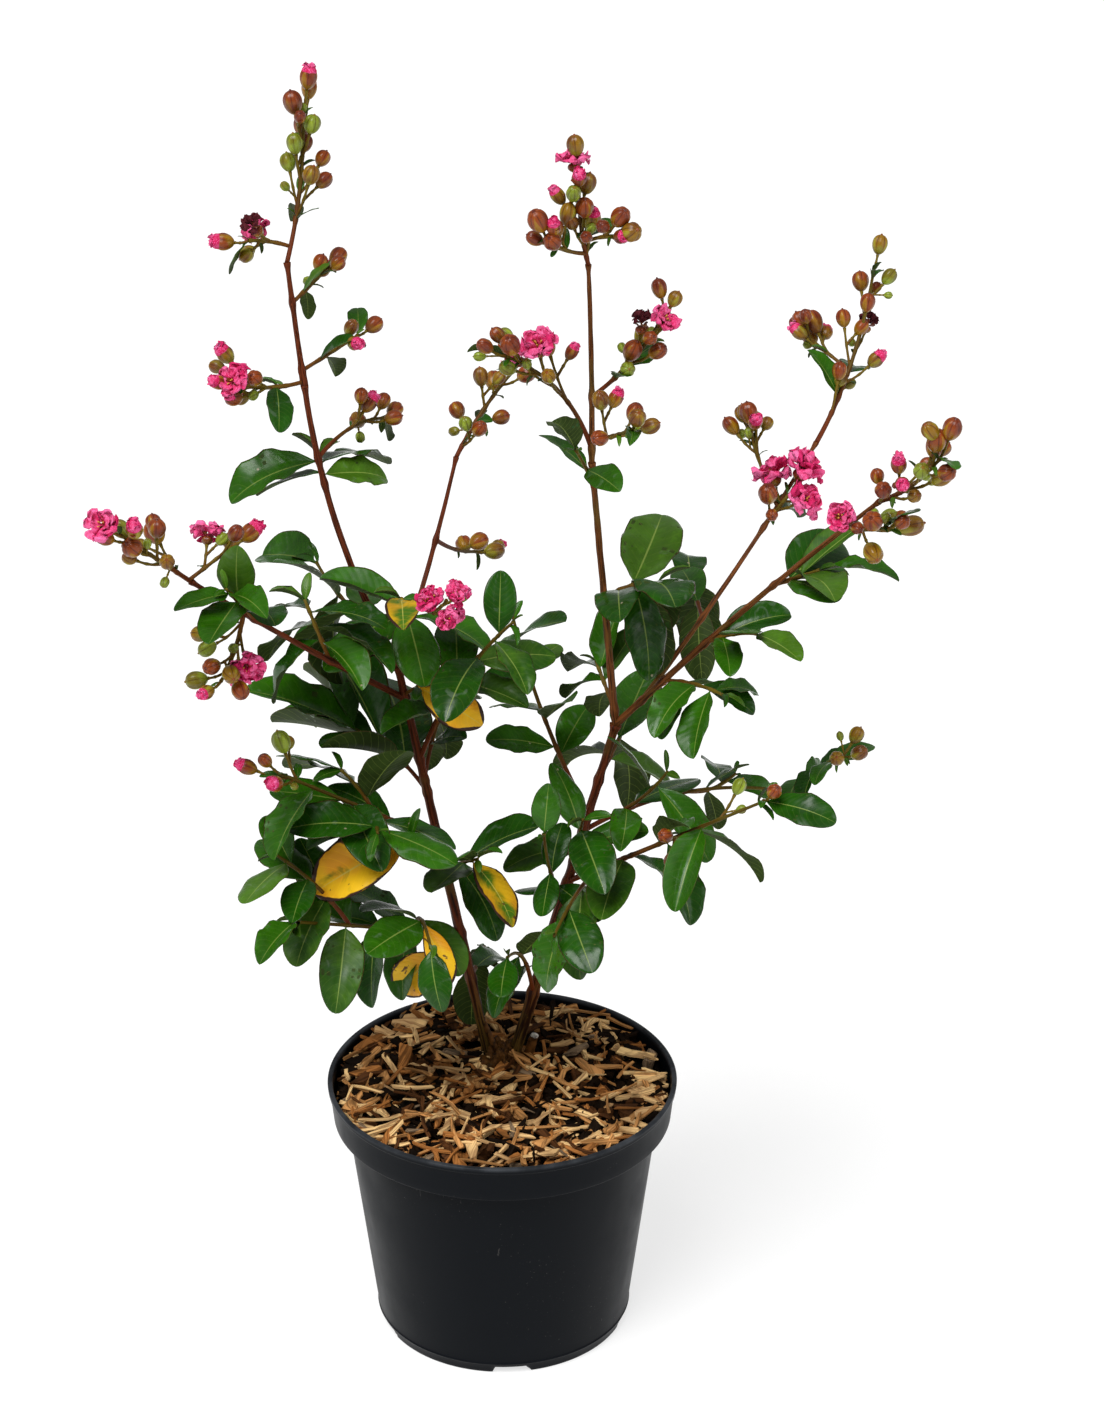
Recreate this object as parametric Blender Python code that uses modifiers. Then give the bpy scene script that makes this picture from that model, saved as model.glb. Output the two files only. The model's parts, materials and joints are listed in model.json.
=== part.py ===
"""Potted crape myrtle, as Blender solids: pot, soil, mulch, stems, boughs and masses of leaves and blossom.

Metres, +Z up, the front of the plant towards -Y. The origin is the middle of the pot's flat underside.
A shoot's heading is in degrees from +X (right) towards +Y (back), its rise in degrees above level, and
its length in millimetres from foot to tip in a straight line. Each mass of leaves is one solid: a shoot,
its side shoots, and leaves and buds that a seeded rule sets along them, wherever they clear the rest.
"""

import math
from typing import NamedTuple

import bmesh
import bpy
import numpy as np
from mathutils import Vector, noise

MM = 0.001
GAP = 0.0003  # between neighbouring solids

# Nursery pot of about five litres
POT_HEIGHT = 0.1735
RIM_RADIUS = 0.1125
BASE_RADIUS = 0.0816
WALL = 0.0018
BAND_HEIGHT = 0.026  # the plain band under the lip
BAND_OVERHANG = 0.0084  # how far the band stands out from the wall below it
LIP_HEIGHT = 0.004
RING_HEIGHT = 0.008  # the mould line above the base
NOTCHES = 5
NOTCH_TURN = -86.0  # heading of the first notch, a little right of the front
NOTCH_WIDTH = 0.023
NOTCH_HEIGHT = 0.003
POT_SEGMENTS = 32

# Filling
MULCH_DEPTH = 0.019
MULCH_DROP = 0.0105  # how far its edge lies below the lip
MULCH_HEAP = 0.0085  # how far its middle stands above its edge
CHIPS = 14
CHIP_SIZE = (0.025, 0.0075, 0.0038)

# Where the two stems leave the ground
GROUND = 0.172
CROWN_PLACE = (-0.001, 0.028)
CROWN_RADIUS = 0.013
STEM_FEET = {"left_stem": (-0.009, 0.028), "right_stem": (0.007, 0.027)}

# Leaves and buds
LEAF_WIDTH = 0.56  # of a leaf's length
LEAF_THICKNESS = 0.0011
OPEN_RADIUS = 0.0125
FADED_RADIUS = 0.0085
BUD_RADIUS = 0.0060
GOLDEN_TURN = 137.5
SPOTS = 40  # sample places on each piece, for keeping pieces apart
LEAF_ROOM = 0.0027  # round each sample place of a leaf
LOWEST_LEAF = 0.181


class Limb(NamedTuple):
    """A bare stem or bough. on is the limb that it leaves, at a share of that limb's length."""

    name: str
    on: str
    share: float
    heading: float
    rise: float
    length: float
    arch: float  # how far its middle stands above the straight line, as a share of the length
    foot: float  # radii in mm
    tip: float


class Shoot(NamedTuple):
    """A leafy or flowering shoot. One on a limb begins a mass, and one on a shoot joins that mass."""

    name: str
    on: str
    share: float
    heading: float
    rise: float
    length: float
    arch: float = 0.0
    leaves: int = 0
    size: float = 45.0  # a leaf's length in mm
    first: float = 0.3  # where the leaves begin, as a share of the shoot
    turn: float = 0.0  # the first leaf's turn about the shoot
    step: float = 90.0  # how far each pair of leaves turns on from the last
    spread: float = 55.0  # between a leaf and the shoot
    droop: float = 10.0
    twigs: int = 0  # with a bud on each
    reach: float = 20.0  # a twig's length in mm
    low: float = 0.4  # where the twigs begin, as a share of the shoot
    lean: float = 50.0  # between a twig and the shoot
    blooms: tuple = ()  # which twigs bear an open flower
    faded: tuple = ()  # which bear a faded one
    seed: int = 1


class Leaf(NamedTuple):
    root: np.ndarray
    ahead: np.ndarray
    face: np.ndarray
    length: float
    width: float
    bend: float
    fold: float


class Bud(NamedTuple):
    twig: np.ndarray  # points along its twig
    ahead: np.ndarray
    radius: float
    kind: str


LIMBS = (
    Limb("left_stem", "", 0.0, -148, 78, 301, 0.0, foot=3.6, tip=2.4),
    Limb("right_stem", "", 0.0, -10, 75, 253, 0.0, foot=3.9, tip=2.5),
    Limb("left_leader", "left_stem", 1.0, 147, 69, 180, -0.06, foot=2.2, tip=1.8),
    Limb("left_spire", "left_leader", 1.0, 121, 76, 74, -0.01, foot=1.7, tip=1.4),
    Limb("left_bough", "left_stem", 0.92, -140, 38, 195, -0.01, foot=2.0, tip=1.3),
    Limb("inner_leader", "left_stem", 1.0, 65, 52, 135, -0.03, foot=1.8, tip=1.2),
    Limb("centre_leader", "right_stem", 1.0, -123, 81, 186, 0.0, foot=2.3, tip=1.8),
    Limb("centre_spire", "centre_leader", 1.0, -98, 81, 131, 0.04, foot=1.7, tip=1.2),
    Limb("right_bough", "right_stem", 1.0, -41, 46, 278, 0.01, foot=2.2, tip=1.3),
    Limb("back_bough", "right_bough", 0.11, 39, 44, 195, -0.02, foot=1.8, tip=1.2),
)

SHOOTS = (
    Shoot("left_low_leaves", "left_stem", 0.33, -130, 25, 165,
          leaves=7, size=56, turn=45, step=0, spread=60, droop=15, seed=6),
    Shoot("left_low_twig", "left_low_leaves", 0.68, -170, 50, 70, 0.05,
          leaves=6, size=48, turn=15, step=0, droop=20, seed=630),
    Shoot("left_low_under", "left_low_leaves", 0.29, -80, 20, 80, 0.15,
          leaves=5, size=50, turn=30, step=0, spread=45, droop=20, seed=55),
    Shoot("left_low_yellow_leaf", "left_low_leaves", 0.13, -90, 15, 50,
          leaves=1, size=50, droop=15, seed=1),
    Shoot("left_middle_leaves", "left_stem", 0.57, -140, 35, 145,
          leaves=6, size=54, turn=75, spread=45, twigs=4, reach=22, low=0.9, lean=40, seed=44),
    Shoot("left_mid_twig", "left_middle_leaves", 0.42, -85, 15, 60,
          leaves=4, size=50, turn=0, step=0, spread=70, seed=69),
    Shoot("left_middle_yellow_leaf", "left_middle_leaves", 0.1, -95, 25, 65, -0.1,
          leaves=1, size=70, droop=25, seed=4195),
    Shoot("left_mid_upper", "left_middle_leaves", 0.42, 175, 55, 35, 0.05,
          leaves=5, size=58, turn=120, step=0, spread=60, droop=5, seed=103),
    Shoot("left_inner_leaves", "left_stem", 0.69, 165, 35, 70, 0.1,
          leaves=6, size=74, turn=0, spread=40, droop=-5, seed=7541),
    Shoot("stem_yellow_leaf", "left_stem", 0.93, -60, 35, 22, leaves=1, size=48, droop=20, seed=139),
    Shoot("left_bough_leaves", "left_bough", 0.36, 150, 65, 40,
          leaves=6, size=56, turn=90, step=0, spread=65, droop=25, seed=728),
    Shoot("left_bough_outer_leaves", "left_bough", 0.71, -115, 45, 45,
          leaves=6, size=50, turn=0, spread=45, droop=5, seed=5492),
    Shoot("left_truss", "left_bough", 1.0, -125, 40, 75,
          turn=45, twigs=9, reach=20, low=0.2, lean=30, blooms=(8,), seed=184),
    Shoot("left_lower_truss", "left_bough", 0.76, -110, -40, 45, -0.1,
          turn=15, twigs=7, reach=20, low=0.1, lean=40, blooms=(1, 2), seed=2407),
    Shoot("left_leader_leaves", "left_leader", 0.15, 135, 25, 60, -0.1,
          leaves=5, size=60, turn=15, spread=65, droop=25, seed=92),
    Shoot("left_leader_upper_leaves", "left_leader", 0.66, 105, 40, 20, 0.05,
          leaves=4, size=56, turn=0, step=0, spread=70, droop=20, seed=7359),
    Shoot("left_inner_truss", "left_leader", 0.75, 55, 5, 65, 0.1,
          leaves=1, size=26, turn=75, droop=5, twigs=5, reach=16, low=0.5, lean=40, seed=8499),
    Shoot("left_side_truss", "left_spire", 0.03, -140, 10, 45, -0.05,
          leaves=2, size=40, turn=0, spread=50, twigs=6, reach=22, low=0.4, lean=30, blooms=(0, 4),
          seed=118),
    Shoot("left_flower_twig", "left_spire", 0.12, 50, 10, 50,
          leaves=3, size=30, turn=45, step=0, spread=40, droop=-5, twigs=2, reach=10, low=0.6,
          lean=70, seed=4548),
    Shoot("left_spire_twig", "left_spire", 0.67, 55, 20, 35,
          leaves=3, size=24, turn=90, step=0, droop=15, twigs=4, reach=12, low=0.5, lean=30,
          seed=7745),
    Shoot("left_top_truss", "left_spire", 1.0, 75, 65, 90, -0.1,
          leaves=3, size=24, turn=45, step=0, spread=60, droop=15, twigs=9, reach=22, low=0.3,
          lean=30, seed=2134),
    Shoot("left_high_truss", "left_top_truss", 0.11, -175, 10, 25, 0.05,
          leaves=1, size=26, turn=0, droop=20, twigs=4, reach=14, low=0.3, lean=60, blooms=(0,),
          faded=(1,), seed=183),
    Shoot("inner_leader_leaves", "inner_leader", 0.2, -95, 40, 55,
          leaves=5, size=60, turn=150, spread=50, droop=25, seed=61),
    Shoot("low_truss", "inner_leader", 0.29, -80, 20, 80,
          turn=30, twigs=4, reach=30, low=0.6, lean=30, blooms=(0, 1, 3), seed=83),
    Shoot("inner_lower_truss", "inner_leader", 0.61, 65, -25, 80, -0.05,
          leaves=1, size=24, turn=45, droop=5, twigs=4, reach=12, low=0.4, lean=30, seed=5736),
    Shoot("inner_truss", "inner_leader", 1.0, 45, 40, 75, 0.05,
          leaves=2, size=20, turn=30, spread=60, twigs=8, reach=16, low=0.1, lean=60, seed=7622),
    Shoot("inner_right_leaves", "left_stem", 0.77, -45, 55, 145, 0.05,
          leaves=8, size=48, turn=0, spread=60, droop=5, seed=124),
    Shoot("inner_small_leaves", "left_stem", 0.72, 75, 25, 70, 0.15,
          leaves=5, size=40, turn=75, step=0, spread=70, seed=3585),
    Shoot("centre_twig_leaves", "right_stem", 0.74, 135, 60, 135, -0.05,
          leaves=8, size=44, turn=0, spread=60, seed=72),
    Shoot("centre_leader_leaves", "centre_leader", 0.06, 115, 40, 35,
          leaves=6, size=44, turn=75, step=0, spread=45, seed=174),
    Shoot("centre_middle_leaves", "centre_leader", 0.49, -5, 20, 35, 0.1,
          leaves=6, size=66, turn=45, spread=70, droop=5, seed=9541),
    Shoot("centre_upper_leaves", "centre_leader", 0.93, -110, 45, 45,
          leaves=3, size=38, turn=45, step=0, spread=60, droop=-5, seed=88),
    Shoot("centre_left_truss", "centre_spire", 0.06, -150, 50, 90, 0.1,
          leaves=1, size=26, turn=60, droop=20, twigs=8, reach=22, low=0.4, lean=30, blooms=(2, 3),
          seed=21),
    Shoot("centre_right_truss", "centre_spire", 0.32, -5, 50, 60, -0.05,
          leaves=2, size=32, turn=15, droop=-5, twigs=7, reach=18, low=0.3, lean=30, blooms=(5,),
          faded=(3,), seed=189),
    Shoot("centre_mid_truss", "centre_spire", 0.1, -70, 25, 70,
          leaves=1, size=26, turn=60, droop=-5, twigs=5, reach=16, low=0.4, seed=165),
    Shoot("centre_top_truss", "centre_spire", 1.0, -125, 80, 60, -0.05,
          leaves=3, size=26, turn=135, spread=70, droop=20, twigs=8, reach=14, low=0.1, lean=30,
          blooms=(6,), seed=520),
    Shoot("centre_high_left", "centre_top_truss", 0.13, -130, 25, 35, -0.05,
          turn=75, twigs=5, reach=14, low=0.5, lean=30, seed=128),
    Shoot("centre_high_right", "centre_top_truss", 0.25, -40, 20, 25, 0.05,
          turn=45, twigs=4, reach=12, low=0.6, lean=30, seed=136),
    Shoot("right_bough_leaves", "right_bough", 0.2, -50, 10, 55, 0.05,
          leaves=6, size=44, turn=0, step=0, spread=70, seed=182),
    Shoot("right_bough_middle_leaves", "right_bough", 0.37, -45, 25, 45, 0.05,
          leaves=5, size=46, turn=165, step=0, spread=45, droop=-5, seed=40),
    Shoot("right_bough_outer_leaves", "right_bough", 0.63, -15, 25, 30,
          leaves=5, size=58, turn=165, step=0, droop=-5, seed=21),
    Shoot("right_truss", "right_bough", 1.0, -55, 40, 65, -0.05,
          leaves=1, size=24, turn=15, droop=20, twigs=10, reach=22, low=0.0, lean=30, seed=7336),
    Shoot("right_lower_truss", "right_bough", 0.89, -45, 15, 30, -0.05,
          leaves=1, size=30, turn=30, droop=0, twigs=7, reach=18, low=0.1, lean=60, blooms=(0,),
          seed=340),
    Shoot("back_bough_leaves", "back_bough", 0.33, 95, 0, 70,
          leaves=6, size=52, turn=120, step=0, spread=40, droop=30, seed=7818),
    Shoot("back_middle_truss", "back_bough", 0.68, 20, 50, 25,
          leaves=2, size=38, turn=60, droop=-5, twigs=6, reach=16, low=0.3, lean=60,
          blooms=(1, 2, 3, 5), seed=155),
    Shoot("back_left_truss", "back_middle_truss", 0.6, 120, 50, 50, -0.05,
          leaves=1, size=30, turn=75, droop=-5, twigs=6, reach=16, low=0.7, lean=30, seed=362),
    Shoot("back_top_truss", "back_bough", 1.0, 60, 50, 115, -0.1,
          leaves=2, size=38, turn=90, spread=45, droop=0, twigs=9, reach=22, low=0.2, lean=40,
          faded=(4,), seed=7680),
    Shoot("back_top_left", "back_top_truss", 0.47, 135, 20, 35,
          turn=45, twigs=5, reach=18, low=0.5, lean=30, seed=1),
    Shoot("right_long_shoot", "right_stem", 0.69, 5, 10, 130, 0.1, seed=24),
    Shoot("right_long_leaves", "right_long_shoot", 0.12, -35, 45, 65, -0.05,
          leaves=4, size=52, turn=0, spread=60, seed=5308),
    Shoot("right_long_tip", "right_long_shoot", 1.0, -35, 40, 55, 0.05,
          leaves=6, size=34, turn=0, step=0, spread=70, droop=5, twigs=3, reach=12, low=0.9,
          seed=180),
    Shoot("right_long_middle", "right_long_shoot", 0.54, 40, 0, 40, -0.1,
          leaves=4, size=40, turn=75, spread=45, droop=15, seed=73),
    Shoot("right_low_leaves", "right_stem", 0.54, -45, 35, 200,
          leaves=7, size=56, turn=15, droop=30, twigs=3, reach=18, low=0.6, lean=70, seed=177),
    Shoot("right_low_under", "right_low_leaves", 0.17, -105, 5, 110, 0.05,
          leaves=4, size=54, turn=60, spread=45, droop=30, seed=37),
    Shoot("right_stem_shoot", "right_stem", 0.52, -100, 45, 110, -0.1,
          leaves=5, size=36, turn=15, spread=60, droop=-5, seed=156),
    Shoot("left_stem_leaves", "left_stem", 0.5, -70, 30, 75,
          leaves=6, size=50, turn=60, spread=50, droop=5, seed=99),
    Shoot("right_stem_leaves", "right_stem", 0.6, -85, 45, 85,
          leaves=4, size=54, turn=0, spread=50, seed=1),
    Shoot("front_low_leaves", "right_stem", 0.2, -100, 40, 115, 0.1,
          leaves=5, size=40, turn=135, step=0, spread=50, seed=50),
    Shoot("back_low_leaves", "left_stem", 0.21, 85, -15, 85,
          leaves=5, size=40, turn=45, step=0, spread=50, droop=30, seed=93),
    Shoot("back_high_leaves", "right_stem", 0.84, 75, 5, 90,
          leaves=5, size=58, turn=0, spread=45, seed=62),
)


def unit(way):
    return way / math.sqrt(float(way @ way))


def aim(heading, rise):
    """The direction at a heading and a rise in degrees."""
    h, r = math.radians(heading), math.radians(rise)
    return np.array([math.cos(r) * math.cos(h), math.cos(r) * math.sin(h), math.sin(r)])


def axis_points(foot, row, count):
    """Evenly spaced points of a limb or shoot, on a curve that arches over the line from foot to tip."""
    ahead = aim(row.heading, row.rise)
    over = aim(row.heading, row.rise + 90.0)
    t = np.linspace(0.0, 1.0, count)[:, None]
    return foot + row.length * MM * (t * ahead + 4.0 * row.arch * t * (1.0 - t) * over)


def at_share(points, share):
    """(place, direction) at a share of the way along evenly spaced points."""
    x = min(max(share, 0.0), 1.0) * (len(points) - 1)
    i = min(int(x), len(points) - 2)
    step = points[i + 1] - points[i]
    return points[i] + step * (x - i), unit(step)


def around(ahead, turn):
    """The direction square to ahead at turn degrees about it, 0 being level and 90 upward."""
    up = np.array([0.0, 0.0, 1.0]) if abs(ahead[2]) < 0.97 else np.array([0.0, -1.0, 0.0])
    side = unit(np.cross(ahead, up))
    over = np.cross(side, ahead)
    a = math.radians(turn)
    return side * math.cos(a) + over * math.sin(a)


def lowered(ahead, droop):
    """ahead turned droop degrees downwards, and never steeper than 75 degrees."""
    flat = math.hypot(ahead[0], ahead[1])
    if flat < 1e-6:
        return ahead
    rise = max(math.atan2(ahead[2], flat) - math.radians(droop), math.radians(-75.0))
    return np.array([ahead[0] / flat * math.cos(rise), ahead[1] / flat * math.cos(rise), math.sin(rise)])


def turned(ahead, degrees):
    """ahead turned about the vertical."""
    a = math.radians(degrees)
    x, y, z = ahead
    return np.array([x * math.cos(a) - y * math.sin(a), x * math.sin(a) + y * math.cos(a), z])


def leaves_along(shoot, points):
    """Leaves in near-opposite pairs along a shoot, with one at its tip where their number is odd."""
    rng = np.random.default_rng(shoot.seed)
    pairs = (shoot.leaves + 1) // 2
    found = []
    for i in range(shoot.leaves):
        pair, side = divmod(i, 2)
        j = rng.uniform(-1.0, 1.0, 6)
        at_tip = i == shoot.leaves - 1 and side == 0
        share = shoot.first + (0.97 - shoot.first) * (pair + 0.22 * side) / max(pairs - 0.3, 1.0)
        share = 1.0 if at_tip else share
        place, ahead = at_share(points, share)
        if at_tip:
            way = unit(ahead + 0.25 * around(ahead, 180.0 * j[0]))
        else:
            outward = around(ahead, shoot.turn + 180.0 * side + shoot.step * pair + 22.0 * j[0])
            spread = math.radians(shoot.spread + 12.0 * j[1])
            way = ahead * math.cos(spread) + outward * math.sin(spread)
        way = lowered(way, shoot.droop * (1.0 + 0.6 * j[2]))
        face = around(way, 90.0 + 24.0 * j[3])
        largest = 0.82 + 0.18 * math.sin(math.pi * min(share, 1.0) ** 1.3)
        length = shoot.size * MM * largest * (1.0 + 0.16 * j[4])
        width = length * LEAF_WIDTH * (1.0 + 0.1 * j[5])
        bend = math.radians(24.0 + 14.0 * j[1])
        fold = math.radians(16.0 + 8.0 * j[2])
        found.append(Leaf(place, way, face, length, width, bend, fold))
    return found


def buds_along(shoot, points):
    """Twigs that turn round a shoot by the golden angle, each with a bud or a flower at its end."""
    rng = np.random.default_rng(shoot.seed + 1000)
    found = []
    for i in range(shoot.twigs):
        j = rng.uniform(-1.0, 1.0, 8)
        at_tip = i == shoot.twigs - 1
        share = 1.0 if at_tip else shoot.low + (0.97 - shoot.low) * i / max(shoot.twigs - 1, 1)
        place, ahead = at_share(points, share)
        if at_tip:
            way = unit(ahead + 0.2 * around(ahead, 180.0 * j[0]))
        else:
            lean = math.radians(shoot.lean + 12.0 * j[1])
            outward = around(ahead, shoot.turn + GOLDEN_TURN * i + 20.0 * j[0])
            way = ahead * math.cos(lean) + outward * math.sin(lean)
        shorter = 1.0 - 0.45 * (share - shoot.low) / (1.0 - shoot.low)
        length = shoot.reach * MM * shorter * (1.0 + 0.25 * j[2])
        t = np.linspace(0.0, 1.0, 4)[:, None]
        sag = 0.12 * t * t - 0.20 * t * (1.0 - t)
        twig = place + length * (t * way + sag * np.array([0.0, 0.0, 1.0]))
        kind = "open" if i in shoot.blooms else "faded" if i in shoot.faded else "bud"
        radius = {"open": OPEN_RADIUS, "faded": FADED_RADIUS, "bud": BUD_RADIUS}[kind]
        found.append(Bud(twig, at_share(twig, 1.0)[1], radius * (1.0 + 0.12 * j[3]), kind))
    return found


def outline_width(s):
    """A leaf's half-width at a share s of its length, as a share of the widest."""
    return np.sin(np.pi * np.clip(s, 0.0, 1.0) ** 1.16).clip(0.0, 1.0) ** 0.72


def on_leaf(leaf, s, c, lift=0.0):
    """Places on a leaf at shares s of its length and c of its half-width, lift above it.

    The midrib is an arc that bends down by leaf.bend over the length, and both halves fold up from it.
    """
    s, c, lift = (np.asarray(v, float).reshape(-1, 1) for v in np.broadcast_arrays(s, c, lift))
    arc = leaf.bend * s
    midrib = leaf.ahead * np.sin(arc) / leaf.bend - leaf.face * (1.0 - np.cos(arc)) / leaf.bend
    up = leaf.ahead * np.sin(arc) + leaf.face * np.cos(arc)
    side = np.cross(leaf.ahead, leaf.face)
    out = 0.5 * leaf.width * outline_width(s) * c
    raised = np.abs(out) * math.sin(leaf.fold) + lift
    return leaf.root + leaf.length * midrib + side * out * math.cos(leaf.fold) + up * raised


def leaf_spots(leaf):
    """Sample places over a leaf, less the quarter by its root."""
    return on_leaf(leaf, np.repeat(np.linspace(0.25, 1.0, 8), 5), np.tile(np.linspace(-0.85, 0.85, 5), 8))


def line_spots(points, start=0.0):
    """Sample places along a line, from a share of its length on."""
    x = np.linspace(start, 1.0, SPOTS) * (len(points) - 1)
    i = np.minimum(x.astype(int), len(points) - 2)
    return points[i] + (points[i + 1] - points[i]) * (x - i)[:, None]


class Room:
    """The space taken so far: sample places, a radius and the mass, for each piece."""

    def __init__(self):
        self.spots, self.middle, self.reach, self.radius, self.mass = [], [], [], [], []

    def add(self, spots, radius, mass):
        middle = spots.mean(0)
        self.spots.append(spots)
        self.middle.append(middle)
        self.reach.append(np.sqrt(((spots - middle) ** 2).sum(1)).max() + radius)
        self.radius.append(radius)
        self.mass.append(mass)

    def clear(self, spots, radius, mass, own=True):
        """True where a piece clears the other masses, and with own the pieces of its own mass as well."""
        if spots[:, 2].min() < LOWEST_LEAF:
            return False
        middle = spots.mean(0)
        reach = np.sqrt(((spots - middle) ** 2).sum(1)).max() + radius
        apart = np.sqrt(((np.array(self.middle) - middle) ** 2).sum(1))
        for i in np.nonzero(apart < np.array(self.reach) + reach)[0]:
            same = self.mass[i] == mass
            if same and not own:
                continue
            need = (self.radius[i] + radius) * (0.6 if same else 1.0)
            if ((self.spots[i][:, None] - spots[None]) ** 2).sum(2).min() < need * need:
                return False
        return True


def placed_leaf(leaf, room, mass):
    """The leaf, swung, drooped or made smaller until it clears the rest, or None."""
    moves = ((0, 0), (0, 14), (0, -14), (22, 0), (-22, 0), (22, 14), (-22, 14), (40, -8), (-40, -8))
    for scale in (1.0, 0.82):
        length, width = leaf.length * scale, leaf.width * scale
        for swing, droop in moves:
            ahead = turned(lowered(leaf.ahead, droop), swing)
            face = unit(leaf.face - ahead * float(leaf.face @ ahead))
            moved = leaf._replace(ahead=ahead, face=face, length=length, width=width)
            spots = leaf_spots(moved)
            if room.clear(spots, LEAF_ROOM, mass):
                room.add(spots, LEAF_ROOM, mass)
                return moved
    return None


def placed_bud(bud, room, mass):
    """The bud with its twig, or None where it would touch another mass."""
    middle = np.repeat((bud.twig[-1] + bud.ahead * bud.radius)[None], SPOTS, 0)
    twig = line_spots(bud.twig, 0.35)
    if not room.clear(middle, 0.95 * bud.radius, mass, own=False):
        return None
    if not room.clear(twig, 0.0012, mass, own=False):
        return None
    room.add(middle, 0.95 * bud.radius, mass)
    room.add(twig, 0.0012, mass)
    return bud


def grow():
    """(axis points by name, {shoot's name: (its mass, leaves, buds)})."""
    axes, mass_of = {}, {}
    room = Room()
    for limb in LIMBS:
        if limb.on:
            foot = at_share(axes[limb.on], limb.share)[0]
        else:
            foot = np.array([*STEM_FEET[limb.name], GROUND])
        axes[limb.name] = axis_points(foot, limb, 101)
        room.add(line_spots(axes[limb.name]), 0.5 * (limb.foot + limb.tip) * MM + 0.0004, "wood")
    for shoot in SHOOTS:
        axes[shoot.name] = axis_points(at_share(axes[shoot.on], shoot.share)[0], shoot, 101)
        mass_of[shoot.name] = mass_of.get(shoot.on, shoot.name)
        begins = mass_of[shoot.name] == shoot.name
        room.add(line_spots(axes[shoot.name], 0.12 if begins else 0.0), 0.0016, mass_of[shoot.name])
    grown = {}
    for shoot in SHOOTS:
        mass = mass_of[shoot.name]
        buds = [placed_bud(bud, room, mass) for bud in buds_along(shoot, axes[shoot.name])]
        leaves = [placed_leaf(leaf, room, mass) for leaf in leaves_along(shoot, axes[shoot.name])]
        grown[shoot.name] = (mass, [v for v in leaves if v], [v for v in buds if v])
    return axes, grown


def material(name, colour, roughness):
    """A Principled material. colour is linear RGB."""
    made = bpy.data.materials.new(name)
    made.use_nodes = True
    shader = made.node_tree.nodes["Principled BSDF"]
    shader.inputs["Base Color"].default_value = (*colour, 1.0)
    shader.inputs["Roughness"].default_value = roughness
    made.diffuse_color = (*colour, 1.0)
    return made


def new_object(name, mesh, finish=None, collection=None):
    obj = bpy.data.objects.new(name, mesh)
    (collection or bpy.context.scene.collection).objects.link(obj)
    if finish:
        mesh.materials.clear()
        mesh.materials.append(finish)
    return obj


def applied(obj):
    """Applies obj's modifiers by reading its evaluated mesh, and returns obj."""
    bpy.context.view_layer.update()
    graph = bpy.context.evaluated_depsgraph_get()
    mesh = bpy.data.meshes.new_from_object(obj.evaluated_get(graph))
    obj.modifiers.clear()
    obj.data = mesh
    return obj


def boolean(obj, others, operation, solver="MANIFOLD"):
    """One Boolean on a collection that holds the others, applied, with those removed."""
    helpers = bpy.data.collections.new("helpers")
    bpy.context.scene.collection.children.link(helpers)
    for other in others:
        for home in list(other.users_collection):
            home.objects.unlink(other)
        helpers.objects.link(other)
    step = obj.modifiers.new(operation.title(), "BOOLEAN")
    step.operation = operation
    step.operand_type = "COLLECTION"
    step.collection = helpers
    step.solver = solver
    applied(obj)
    for other in others:
        bpy.data.objects.remove(other)
    bpy.data.collections.remove(helpers)
    return obj


def keep_largest(obj):
    """Drops every loose piece but the one with the most faces."""
    bm = bmesh.new()
    bm.from_mesh(obj.data)
    bm.faces.ensure_lookup_table()
    left, pieces = set(bm.faces), []
    while left:
        piece, edge = set(), [left.pop()]
        while edge:
            face = edge.pop()
            piece.add(face)
            for side in face.edges:
                for other in side.link_faces:
                    if other in left:
                        left.discard(other)
                        edge.append(other)
        pieces.append(piece)
    pieces.sort(key=len)
    loose = [face for piece in pieces[:-1] for face in piece]
    if loose:
        bmesh.ops.delete(bm, geom=loose, context="FACES")
        bmesh.ops.delete(bm, geom=[v for v in bm.verts if not v.link_faces], context="VERTS")
        bm.to_mesh(obj.data)
    bm.free()
    return obj


def turned_shape(name, profile, segments, finish):
    """A solid turned from (radius, height) points that begin and end on the axis."""
    mesh = bpy.data.meshes.new(name)
    mesh.from_pydata([(r, 0.0, z) for r, z in profile], [(i, i + 1) for i in range(len(profile) - 1)], [])
    obj = new_object(name, mesh, finish)
    screw = obj.modifiers.new("Screw", "SCREW")
    screw.steps = screw.render_steps = segments
    screw.use_merge_vertices = True
    screw.merge_threshold = 0.00005
    screw.use_normal_calculate = True
    applied(obj)
    outward(obj.data)
    return obj


def write_outward(bm, mesh):
    """Writes a closed shape to the mesh with its faces outward."""
    if bm.calc_volume(signed=True) < 0.0:
        bmesh.ops.reverse_faces(bm, faces=bm.faces)
    bm.to_mesh(mesh)
    bm.free()


def outward(mesh):
    """Merges a closed mesh's double points and turns its faces outward."""
    bm = bmesh.new()
    bm.from_mesh(mesh)
    bmesh.ops.remove_doubles(bm, verts=bm.verts, dist=0.00002)
    bmesh.ops.recalc_face_normals(bm, faces=bm.faces)
    write_outward(bm, mesh)


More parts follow.
